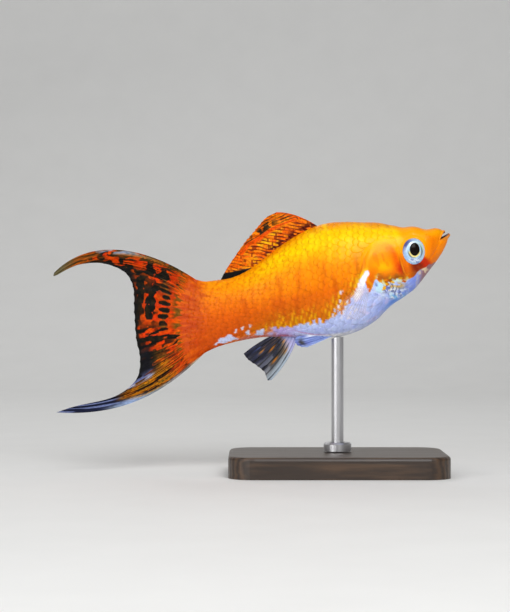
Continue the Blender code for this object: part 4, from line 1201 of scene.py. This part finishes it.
def paint_tail(fin):
    """Red and black cells between orange rays, darker to the margin, with a blue-edged lower lobe."""
    x, z, u, v, c = fin.x, fin.z, fin.u, fin.v, fin.c
    cell = np.floor(c)
    steer = steered(TAIL_RAYS, u, v * 0)
    d = np.hypot(x - steer[..., 0], z - steer[..., 1])
    jog = (hashed(cell, cell * 0 + 3, 5) - 0.5) * 1.4
    w = np.abs(c - cell - 0.5) * 2
    wander = waver(c * 1.7, d / 1.6, 81) * 1.6
    r = d + jog * 0.7 + wander * 0.6
    flame = paint_flank(x, z).lay((222, 92, 6), ease(2.4, 4.4, d))
    flame.lay((236, 122, 14), 0.5 * noise(c * 2.5, d / 0.8, 82) * ease(2.0, 4.0, d))
    streaks = dots(0.45, 0.58, c * 3.0, d / 1.8, 83)

    # Rings of black cells across the middle
    in_middle = hump(u, 0.445, 0.135)
    ring = np.zeros_like(d)
    rings = (7.35, 1.4, 0.90), (10.0, 1.15, 1.35), (13.1, 1.05, 1.8)
    for number, (centre, reach, width) in enumerate(rings):
        wave = waver(c * 0.5, u * 0, 84 + number) * 1.2
        own = centre + (hashed(cell, cell * 0 + number, 9) - 0.5) * 0.7 + wave
        size = 0.6 + 0.65 * hashed(cell, cell * 0 + number, 10)
        lens = 1.35 - np.hypot((d - own) / (reach * size), w / width)
        broken = (number == 1) * (hashed(cell, cell * 0 + 1, 113) < 0.36)
        ring = np.maximum(ring, ease(0.25, 0.45, lens - broken + 0.5 * waver(c * 2.2, d / 0.7, 93)))
    # Blotches, strokes and dashes above and below them
    blotch = 0.7 * noise(c * 0.42, r / 1.75, 84) + 0.3 * noise(c * 0.9, r / 1.0, 85)
    inner = ease(0.72, 0.96, v + 0.2 * waver(c * 0.8, d / 1.5, 94))
    onset = ease(3.0, 6.5, d + 4.5 * waver(c * 0.9, d / 2.5, 114))
    strokes = 0.55 * noise(c * 1.8, d / 3.2, 115) + 0.45 * noise(c * 3.2, d / 2.2, 116)
    blotch = blotch + (strokes - blotch) * ease(0.50, 0.57, u)
    dashes = 0.6 * noise(c * 1.1, d / 2.6, 134) + 0.4 * noise(c * 2.0, d / 1.8, 135)
    blotch = blotch + (dashes - blotch) * hump(u, 0.36, 0.075)
    blobs = 0.6 * noise(x / 1.45 + 0.3 * z, z / 1.05, 117) + 0.4 * noise(x / 0.65, z / 0.55, 118)
    blotch = blotch + (blobs - blotch) * fall(0.28, 0.36, u)
    blotch = blotch + 0.16 * inner + 0.09 * ease(0.50, 0.56, u)
    dark = in_middle * ring + (1 - in_middle) * ease(0.50, 0.57, blotch) * onset
    dark = ease(0.35, 0.6, dark)
    dark = np.maximum(dark, in_middle * dots(0.6, 0.68, c * 1.5, d / 0.85, 130) * ease(7.5, 9.5, d))
    dark = np.maximum(dark, hump(u, 0.34, 0.06) * dots(0.48, 0.56, c * 0.9, d / 1.6, 131) * ease(5.0, 7.0, d))
    dark = np.maximum(
        dark, 0.85 * dots(0.62, 0.72, c * 2.4, d / 1.1, 95) * ease(3.5, 6.0, d) * (1 - in_middle)
    )
    flame.lay((208, 52, 0), ease(3.4, 5.2, d))
    flame.lay((214, 82, 2), 0.6 * dots(0.35, 0.65, c * 1.6, d / 0.9, 86))
    flame.lay((160, 60, 8), 0.8 * ease(11.0, 12.6, d) * in_middle)
    flame.lay((92, 72, 20), 0.85 * streaks * hump(d, 3.9, 1.2))
    ink = plain((18, 18, 14), x).lay((58, 40, 14), 0.4 * dots(0.5, 0.75, c * 3.0, d / 0.5, 99))
    paint = flame.lay(ink, dark)
    paint.lay((206, 116, 24), 0.8 * fin.ridge * dark * fall(7.0, 9.5, d) * ease(0.2, 0.4, in_middle))

    # Upper lobe: an olive hem, a painted blue-grey highlight along its top edge, and a rusty tip
    hem = fall(0.02, 0.13, u) * fall(17, 23, d) * ease(2.5, 5.0, d)
    fine = noise(c * 3.4, d / 3.2, 92)
    grains = noise(x / 0.45, z / 0.35, 127)
    paint.lay((150, 94, 18), 0.85 * hem)
    paint.lay((50, 40, 14), 0.9 * hem * ease(0.5, 0.62, 0.5 * fine + 0.5 * grains))
    paint.lay((196, 74, 6), 0.8 * hem * ease(0.62, 0.72, blobs))
    # Painted highlight: blue-grey along the upper lobe's top edge
    paint.lay(
        (158, 180, 222), 0.85 * fall(0.025, 0.07, u) * dots(0.36, 0.5, d / 2.0, c * 0.6, 87)
        * hump(d, 21.5, 7.5)
    )
    tip = ease(22.0, 27.0, d + 5 * waver(c * 0.8, d / 2.5, 96)) * fall(0.25, 0.4, u)
    rust = ramp(
        fine, ((0.25, (70, 44, 14)), (0.45, (168, 78, 10)), (0.65, (196, 92, 12)), (0.8, (120, 80, 30)))
    )
    paint.lay(rust.lay((104, 96, 66), ease(27.5, 32.5, d)), tip)
    paint.lay(
        (22, 22, 24), 0.95 * ease(0.16, 0.26, u) * fall(0.34, 0.42, u)
        * ease(0.84, 0.95, v + 0.12 * (fine - 0.5))
    )

    # Lower lobe: ochre lines that turn navy, with blue edges
    lobe = ease(0.64, 0.8, u + 0.05 * waver(c * 0.9, d / 3.0, 120))
    lines = noise(c * 4.2, d / 5.0, 88)
    low = ramp(0.75 * lines + 0.25 * noise(c * 2.0, d / 0.45, 97), (
        (0.30, (22, 18, 12)), (0.42, (92, 50, 10)), (0.52, (168, 88, 8)), (0.62, (208, 128, 10)),
        (0.75, (116, 84, 24)),
    ))
    low.lay((210, 64, 12), 0.8 * fall(5.0, 12.0, d) * dots(0.35, 0.6, c * 3.1, d / 3.0, 89))
    low.lay((24, 27, 50), ease(19.5, 23.5, d + 4 * (lines - 0.5)))
    low.lay((118, 130, 176), 0.85 * ease(20, 24, d) * dots(0.6, 0.7, c * 2.6, d / 9.0, 90))
    low.lay((22, 24, 44), fall(0.74, 0.84, u) * ease(9.0, 12.5, d))
    low.lay(
        (120, 132, 190), 0.8 * fall(0.8, 0.86, u) * ease(11, 13, d) * dots(0.66, 0.74, c * 2.2, d / 3.4, 98)
    )
    low.lay(
        (170, 180, 216), 0.9 * hump(u, 0.8, 0.016) * ease(11, 13, d) * dots(0.4, 0.55, d / 2.0, u * 0, 91)
    )
    low.lay((128, 138, 150), 0.85 * ease(0.965, 0.99, u) * ease(1.0, 3.0, d) * fall(24, 28, d))
    low.lay((150, 176, 226), 0.75 * ease(0.94, 0.97, u) * hump(d, 20.5, 3.5))
    fade = ease(2.0, 8.0, d + 3 * waver(c * 2.2, d / 2.5, 119))
    paint.lay(low, lobe * (0.15 + 0.85 * fade))
    paint.lay((176, 172, 156), 0.8 * ease(0.955, 0.985, u) * hump(d, 2.8, 2.0))
    paint.lay((18, 18, 24), 0.9 * ease(0.6, 0.66, u) * fall(0.72, 0.78, u) * ease(0.7, 0.85, v))
    paint.lay(
        (16, 16, 16), 0.92 * ease(0.93, 0.975, v + 0.05 * waver(c * 1.1, u * 0, 129)) * ease(0.2, 0.3, u)
        * fall(0.7, 0.8, u)
    )
    return paint.shade(0.86 + 0.28 * noise(c * 4.0, d / 0.45, 100)).colours


def paint_back_fin(fin):
    """Orange with dark lines and yellow cells low down, a bright bar, smoke above it and a black hem."""
    x, z, u, v = fin.x, fin.z, fin.u, fin.v
    top, _ = outline_heights(x)
    gap, along = line_distance(x, z, BACK_BAR)
    side = np.where(z > np.interp(x, [p[0] for p in BACK_BAR], [p[1] for p in BACK_BAR]), 1.0, -1.0)
    from_bar = gap * side
    paint = plain((228, 98, 4), x)
    paint.lay((244, 136, 8), 0.8 * dots(0.35, 0.7, x / 1.2, z / 0.6, 101))

    # Below the bar: short lines, nearly level, with yellow cells between them
    low = ease(0.3, 0.9, -from_bar)
    level = (z + 0.16 * x + 0.5 * waver(x / 2.2, z / 1.5, 102)) / 0.8
    stripe = np.abs(level % 1 - 0.5) * 2
    row = np.floor(level)
    cell = noise(x / 1.3 + 5.3 * row, row * 7.1, 103)
    paint.lay((238, 176, 12), 0.9 * low * ease(0.45, 0.6, cell) * hump(x, 4.0, 4.6) * fall(0.55, 0.8, stripe))
    ink = (
        ease(0.58, 0.8, stripe + 0.35 * waver(x / 0.9, row * 3.3, 104))
        * dots(0.28, 0.42, x / 1.7, row * 5.7, 105)
    )
    paint.lay((92, 26, 8), 0.9 * ink * low)
    bars = dots(0.74, 0.82, x / 0.5 + 3.1 * row, row * 9.1, 106) * low
    paint.lay((120, 34, 6), 0.7 * bars)
    speckle = dots(0.4, 0.52, x / 0.6, z / 0.42, 107)
    front = hump(z - top, 0.75, 0.75) * ease(2.0, 5.0, x)
    paint.lay((76, 18, 10), 0.95 * front * speckle)

    # Above the bar: smoke and lines that run with it
    high = ease(0.25, 0.6, from_bar)
    drift = (from_bar + 0.45 * waver(x / 1.4, z / 1.4, 108)) / 0.62
    lines = (
        ease(0.5, 0.78, np.abs(drift % 1 - 0.5) * 2) * dots(0.3, 0.5, along * 9, np.floor(drift) * 3.7, 109)
    )
    smoke = hump(from_bar, 1.1, 0.85) * hump(along, 0.45, 0.34) * dots(0.36, 0.52, x / 0.9, z / 0.7, 110)
    paint.lay((34, 28, 18), high * np.clip(0.9 * lines + 1.0 * smoke, 0, 1) * (1 - 0.7 * ease(0.93, 0.98, v)))

    width = np.interp(along, (0, 0.35, 0.75, 1), (0.52, 0.42, 0.28, 0.10))
    paint.lay((226, 80, 2), fall(0.75, 1.15, gap / width + 0.35 * waver(x / 0.7, z / 0.7, 111)))
    paint.lay((232, 92, 6), 0.7 * fall(0.0, 0.08, u) * ease(0.2, 0.5, v))
    hem = ease(0.0, 0.35, np.interp(x, (-6.4, -3.0, 0.4, 1.6), (32.2, 32.9, 33.6, 33.9)) - z)
    return paint.shade(0.86 + 0.28 * noise(x / 0.3, z / 0.3, 112)).lay((14, 14, 16), hem).colours


def paint_anal_fin(fin):
    """Dim membrane with black rays, ochre spots low on it, a pale front edge and a navy rear."""
    x, z, u, v, c = fin.x, fin.z, fin.u, fin.v, fin.c
    gap = np.abs(c % 1 - 0.5) * 2
    paint = plain((122, 130, 134), x)
    paint.lay((34, 36, 48), ease(0.15, 0.35, u) * ease(0.15, 0.5, v))
    paint.lay((12, 14, 44), ease(0.36, 0.7, u + 0.15 * v))
    paint.lay(
        (96, 116, 176), 0.8 * ease(0.55, 0.8, u) * dots(0.55, 0.65, c * 2.2, v * 2.5, 122)
        * fall(0.6, 0.95, v)
    )
    paint.lay((150, 152, 160), 0.6 * hump(u, 0.35, 0.2) * dots(0.5, 0.65, c * 2.0, v * 4, 123))
    spots = dots(0.46, 0.56, np.floor(c + 0.5) * 1.7, v * 6, 124) * fall(0.55, 0.8, gap)
    paint.lay((150, 88, 18), 0.5 * spots * hump(v, 0.32, 0.17) * hump(u, 0.5, 0.35))
    paint.lay(
        (150, 84, 20), 0.7 * hump(v, 0.16, 0.08) * ease(0.15, 0.3, u) * dots(0.45, 0.6, c * 2.4, v * 9, 125)
    )
    lines = ease(0.62, 0.88, gap + 0.3 * waver(c * 2, v * 6, 121))
    paint.lay((12, 12, 18), 0.92 * lines * ease(0.06, 0.22, v))
    bar = hump(v, 0.52, 0.025) + hump(v, 0.36, 0.02)
    paint.lay(
        (12, 12, 18), 0.8 * bar * ease(0.4, 0.5, u) * fall(0.8, 0.9, u)
        * dots(0.45, 0.6, np.floor(c) * 2.3, v * 0, 126)
    )
    for spot_x, spot_z, length in OCHRE_SPOTS:
        run = (x - spot_x) * 0.62 + (z - spot_z) * 0.78
        wide = (x - spot_x) * 0.78 - (z - spot_z) * 0.62
        paint.lay((176, 104, 14), 1.2 * hump(run, 0, length * 1.3) * hump(wide, 0, 0.26) * (1 - 0.95 * lines))
    paint.lay(
        (176, 190, 204), 0.92 * fall(0.12, 0.26, u) * (1 - 0.6 * lines * ease(0.05, 0.1, u))
        * (1 - 0.3 * noise(c * 5, v * 3, 128))
    )
    paint.lay((186, 182, 234), 0.9 * fall(0.3, 0.58, v + 0.5 * u) * (1 - 0.6 * lines * ease(0.2, 0.3, v)))
    paint.lay((150, 160, 206), 0.8 * fall(0.08, 0.24, v) * dots(0.35, 0.5, c * 2.0, v * 5, 133))
    return paint.with_alpha(0.94 + 0.06 * lines)


def paint_pelvic(u, v, ridge):
    """Slate blue with a white upper edge and a dark mark near the tip."""
    paint = plain((110, 132, 200), u)
    paint.lay((150, 168, 226), 0.8 * ridge)
    paint.lay((96, 108, 196), 0.7 * ease(0.5, 0.8, v) * dots(0.4, 0.7, u * 5, v * 4, 131))
    paint.lay((240, 244, 255), 0.95 * fall(0.16, 0.34, u + 0.1 * v) * fall(0.6, 0.85, v))
    paint.lay((164, 184, 236), 0.8 * ease(0.8, 0.95, u))
    paint.lay((26, 24, 30), 0.95 * hump(v, 0.86, 0.07) * hump(u, 0.5, 0.25))
    return paint.with_alpha(0.9 + 0.1 * ridge)


def paint_pectoral(_, v, ridge):
    """Nearly clear, with faint brown rays and a pale root."""
    paint = plain((226, 214, 214), v)
    paint.lay((196, 130, 84), 0.75 * ridge * ease(0.12, 0.3, v))
    paint.lay((232, 226, 250), fall(0.12, 0.3, v))
    alpha = 0.03 + 0.13 * ridge * (1 - 0.4 * v) + 0.24 * fall(0.05, 0.34, v)
    return paint.with_alpha(np.clip(alpha, 0, 1))


def paired_fin(name, root, direction, fan, count, side, painter, columns, rows, thickness, curl):
    """A fan of rays on one side of the fish."""
    spread, length, root_width = fan
    direction = np.array(direction, float) / np.linalg.norm(direction)
    width_way = np.cross((0.0, -1.0, 0.0), direction)
    width_way /= np.linalg.norm(width_way)
    facing = np.cross(direction, width_way)
    u, v = fin_grid(columns, rows)
    c = u * (count - 1)
    place = 2 * u - 1
    angle = np.radians(spread) * place
    ridge = ray_ridge(c, v, 0.5)
    way = direction * np.cos(angle)[..., None] + width_way * np.sin(angle)[..., None]
    scallop = 0.012 * np.cos(c * 2 * math.pi)
    reach = length * (1 - 0.16 * place**2 - 0.10 * place + scallop)
    start = np.asarray(root) - direction * PAIRED_SINK + width_way * (root_width / 2 * place)[..., None]
    bow = (curl * v**2 + 0.10 * np.sin(c * math.pi) * v)[..., None] * facing
    middle = start + way * (reach * v)[..., None] + bow
    half = thickness[0] + thickness[1] * (1 - 0.7 * v) * ridge * ease(0.1, 0.3, v)
    mirror = np.array([1.0, -side, 1.0])
    return fin_solid(name, middle * mirror, half, facing * mirror, painter(u, v, ridge))


# Settings


class MollySettings(bpy.types.PropertyGroup):
    """Sizes and colours of the molly that a user may change."""

    skin_rows: IntProperty(
        name="Skin rings", description="Rings of the skin from tail to mouth", default=430, min=60
    )
    skin_columns: IntProperty(
        name="Skin columns", description="Points in each ring of the skin", default=264, min=40
    )
    scale_rows: IntProperty(name="Scale rows", description="Rows of scales down each side", default=19, min=6)
    scale_pitch: FloatProperty(
        name="Scale pitch", description="Length of the part of a scale that shows", default=SCALE_PITCH * MM,
        min=0.5 * MM, max=4 * MM, unit="LENGTH", precision=5,
    )
    tail_rays: IntProperty(name="Tail rays", description="Rays in the tail fin", default=33, min=6)
    back_rays: IntProperty(name="Back fin rays", description="Rays in the dorsal fin", default=17, min=4)
    anal_rays: IntProperty(name="Anal fin rays", description="Rays in the anal fin", default=9, min=4)
    wood_light: FloatVectorProperty(
        name="Light wood", description="Lighter colour of the stand's grain", subtype="COLOR",
        default=(0.085, 0.045, 0.022),
    )
    wood_dark: FloatVectorProperty(
        name="Dark wood", description="Darker colour of the stand's grain", subtype="COLOR",
        default=(0.022, 0.012, 0.007),
    )
    floor_colour: FloatVectorProperty(
        name="Floor", description="Colour of the floor and backdrop", subtype="COLOR",
        default=(0.82, 0.82, 0.81),
    )
    camera_distance: FloatProperty(
        name="Camera distance", description="From the fish's middle plane to the camera", default=0.46,
        min=0.1, unit="LENGTH",
    )


class MOLLY_OT_skin(bpy.types.Operator):
    """Lays one painted skin over the body and head"""

    bl_idname = "molly.skin"
    bl_label = "Skin"

    def execute(self, context):
        sizes = context.scene.molly
        skin = build_skin(sizes.skin_rows, sizes.skin_columns)
        dress(skin, wet_skin())
        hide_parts("head", "lower_jaw", "gill_cover_right", "gill_cover_left", "trunk", "tail_stem")
        return {"FINISHED"}


class MOLLY_OT_scales(bpy.types.Operator):
    """Covers both flanks with overlapping scales"""

    bl_idname = "molly.scales"
    bl_label = "Scales"

    def execute(self, context):
        sizes = context.scene.molly
        for side, seed in ((-1, 7), (1, 8)):
            scales = build_scales(side, sizes.scale_rows, sizes.scale_pitch / MM, seed)
            dress(scales, scale_skin())
        return {"FINISHED"}


class MOLLY_OT_eyes(bpy.types.Operator):
    """Sets an eye and a pupil on each side"""

    bl_idname = "molly.eyes"
    bl_label = "Eyes"

    def execute(self, context):
        for side, word in ((-1, "right"), (1, "left")):
            eye, pupil = build_eye(side)
            dress(eye, eye_finish())
            dress(pupil, pupil_finish())
            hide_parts(f"eye_{word}")
            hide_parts(f"pupil_{word}")
        return {"FINISHED"}


class MOLLY_OT_tail_fin(bpy.types.Operator):
    """Spreads the lyre-shaped tail fin"""

    bl_idname = "molly.tail_fin"
    bl_label = "Tail fin"

    def execute(self, context):
        count = context.scene.molly.tail_rays
        fin = middle_fin("molly_tail_fin", TAIL_RAYS, count, 10, 170, 0.42, (0.11, 0.20), paint_tail, 0.012)
        dress(fin, painted_fin())
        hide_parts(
            "tail_fin_middle", "tail_fin_upper", "tail_fin_upper_tip", "tail_fin_lower",
            "tail_fin_lower_tip",
        )
        return {"FINISHED"}


class MOLLY_OT_back_fin(bpy.types.Operator):
    """Raises the dorsal fin"""

    bl_idname = "molly.back_fin"
    bl_label = "Dorsal fin"

    def execute(self, context):
        count = context.scene.molly.back_rays
        fin = middle_fin(
            "molly_dorsal_fin", BACK_RAYS, count, 16, 120, 0.5, (0.10, 0.20), paint_back_fin, 0.02
        )
        dress(fin, painted_fin())
        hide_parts("dorsal_fin")
        return {"FINISHED"}


class MOLLY_OT_anal_fin(bpy.types.Operator):
    """Hangs the anal fin"""

    bl_idname = "molly.anal_fin"
    bl_label = "Anal fin"

    def execute(self, context):
        count = context.scene.molly.anal_rays
        fin = middle_fin("molly_anal_fin", ANAL_RAYS, count, 14, 90, 0.45, (0.09, 0.20), paint_anal_fin, 0.01)
        dress(fin, clear_fin())
        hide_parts("anal_fin")
        return {"FINISHED"}


class MOLLY_OT_paired_fins(bpy.types.Operator):
    """Sets the pectoral and pelvic fins on both sides"""

    bl_idname = "molly.paired_fins"
    bl_label = "Paired fins"

    def execute(self, context):
        sheet = BodySheet()
        root, _ = sheet.find(*PECTORAL[0], -1)
        belly = (PELVIC[0][0], -PELVIC_Y, PELVIC[0][1])
        for side, word in ((-1, "right"), (1, "left")):
            fin = paired_fin(
                f"molly_pectoral_fin_{word}", root, PECTORAL[1], PECTORAL[2:], 11, side, paint_pectoral,
                141, 70, (0.05, 0.13), 0.5,
            )
            dress(fin, clear_fin())
            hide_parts(f"pectoral_fin_{word}")
            fin = paired_fin(
                f"molly_pelvic_fin_{word}", belly, PELVIC[1], PELVIC[2:], 6, side, paint_pelvic,
                81, 60, (0.08, 0.16), 0.0,
            )
            dress(fin, clear_fin())
            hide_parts(f"pelvic_fin_{word}")
        return {"FINISHED"}


class MOLLY_OT_stand(bpy.types.Operator):
    """Finishes the stand's base, rod and collar"""

    bl_idname = "molly.stand"
    bl_label = "Stand"

    def execute(self, context):
        sizes = context.scene.molly
        finishes = {
            "stand_base": stained_wood(sizes.wood_light, sizes.wood_dark),
            "stand_rod": brushed_rod(),
            "stand_collar": brushed_rod(),
        }
        for name, material in finishes.items():
            coat(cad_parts[name], material)
        return {"FINISHED"}


class MOLLY_OT_stage(bpy.types.Operator):
    """Adds the pale floor, the soft lights and the camera"""

    bl_idname = "molly.stage"
    bl_label = "Stage"

    def execute(self, context):
        sizes = context.scene.molly
        scene = context.scene
        backdrop(sizes.floor_colour)
        scene.view_settings.view_transform = "Standard"

        world = bpy.data.worlds.new("soft room")
        scene.world = world
        world.use_nodes = True
        background = world.node_tree.nodes["Background"]
        background.inputs["Color"].default_value = (1.0, 1.0, 1.0, 1)
        background.inputs["Strength"].default_value = 0.20

        aim = Vector((0.0, 0.0, 0.038))
        add_light("key", (0.14, -0.52, 0.42), aim, 0.34, 2.9)
        add_light("fill", (-0.40, -0.46, 0.14), aim, 0.40, 1.3)
        add_light("rim", (-0.15, 0.40, 0.45), aim, 0.30, 0.45)
        add_light("wall", (0.0, 0.12, 0.95), Vector((0.0, 0.74, 0.25)), 0.6, 1.3)

        camera = bpy.data.objects.new("camera", bpy.data.cameras.new("camera"))
        scene.collection.objects.link(camera)
        across = (PICTURE_WIDTH / 2 - ZERO_ACROSS) * PIXEL
        middle = Vector((across * MM, 0.0, (LIFT + (ZERO_DOWN - PICTURE_HEIGHT / 2) * PIXEL) * MM))
        camera.location = middle + Vector((0, -sizes.camera_distance, 0))
        camera.rotation_euler = (math.pi / 2, 0, 0)
        sensor = 36
        camera.data.sensor_width = sensor
        camera.data.sensor_fit = "AUTO"
        camera.data.lens = sensor * sizes.camera_distance / (PICTURE_HEIGHT * PIXEL * MM)
        camera.data.clip_start = 0.01
        camera.data.dof.use_dof = False
        scene.camera = camera
        return {"FINISHED"}


def backdrop(colour):
    """A pale floor that curves up behind."""
    steps, radius, reach, width, height = 24, 0.35, 0.75, 3.0, 1.6
    profile = [(-2.0, 0.0), (reach - radius, 0.0)]
    for k in range(1, steps + 1):
        turn = math.pi / 2 * k / steps
        profile.append((reach - radius + radius * math.sin(turn), radius - radius * math.cos(turn)))
    profile.append((reach, height))
    points = [(x, y, z) for x in (-width / 2, width / 2) for y, z in profile]
    count = len(profile)
    faces = [(k, count + k, count + k + 1, k + 1) for k in range(count - 1)]
    floor = mesh_piece("floor", points, faces, None)
    f = Finish("pale floor")
    texture = f.grain("ShaderNodeTexNoise", 60, Detail=4.0)
    base = f.node("ShaderNodeRGB")
    base.outputs[0].default_value = (*colour, 1)
    f.join(f.tinted(base.outputs[0], texture.outputs["Fac"], 0.97, 1.03), f.shader.inputs["Base Color"])
    f.join(f.spread(texture.outputs["Fac"], 0.6, 0.8), f.shader.inputs["Roughness"])
    floor.data.materials.append(f.material)
    return floor


def add_light(name, place, aim, size, power):
    """A square soft light that faces its aim, with its size in metres and its power in watts."""
    light = bpy.data.lights.new(name, "AREA")
    light.shape = "SQUARE"
    light.size = size
    light.energy = power
    lamp = bpy.data.objects.new(name, light)
    bpy.context.scene.collection.objects.link(lamp)
    lamp.location = place
    lamp.rotation_euler = (Vector(place) - aim).to_track_quat("Z", "Y").to_euler()


class MOLLY_PT_panel(bpy.types.Panel):
    """Lists the steps that build the molly"""

    bl_idname = "MOLLY_PT_panel"
    bl_label = "Saffron molly"
    bl_space_type = "VIEW_3D"
    bl_region_type = "UI"
    bl_category = "Molly"

    def draw(self, context):
        """Lists the settings, then the steps."""
        for name in MollySettings.__annotations__:
            self.layout.prop(context.scene.molly, name)
        for step in STEPS:
            self.layout.operator(step.bl_idname)


STEPS = (
    MOLLY_OT_stage,
    MOLLY_OT_skin,
    MOLLY_OT_scales,
    MOLLY_OT_eyes,
    MOLLY_OT_tail_fin,
    MOLLY_OT_back_fin,
    MOLLY_OT_anal_fin,
    MOLLY_OT_paired_fins,
    MOLLY_OT_stand,
)


def register():
    """Makes the settings, the steps and the panel known."""
    for part in (MollySettings, *STEPS, MOLLY_PT_panel):
        bpy.utils.register_class(part)
    bpy.types.Scene.molly = PointerProperty(type=MollySettings)


def unregister():
    """Takes the settings, the steps and the panel away again."""
    del bpy.types.Scene.molly
    for part in reversed((MollySettings, *STEPS, MOLLY_PT_panel)):
        bpy.utils.unregister_class(part)


def main():
    """Runs every step in order."""
    register()
    for step in STEPS:
        group, name = step.bl_idname.split(".")
        getattr(getattr(bpy.ops, group), name)()


if __name__ == "__main__":
    main()
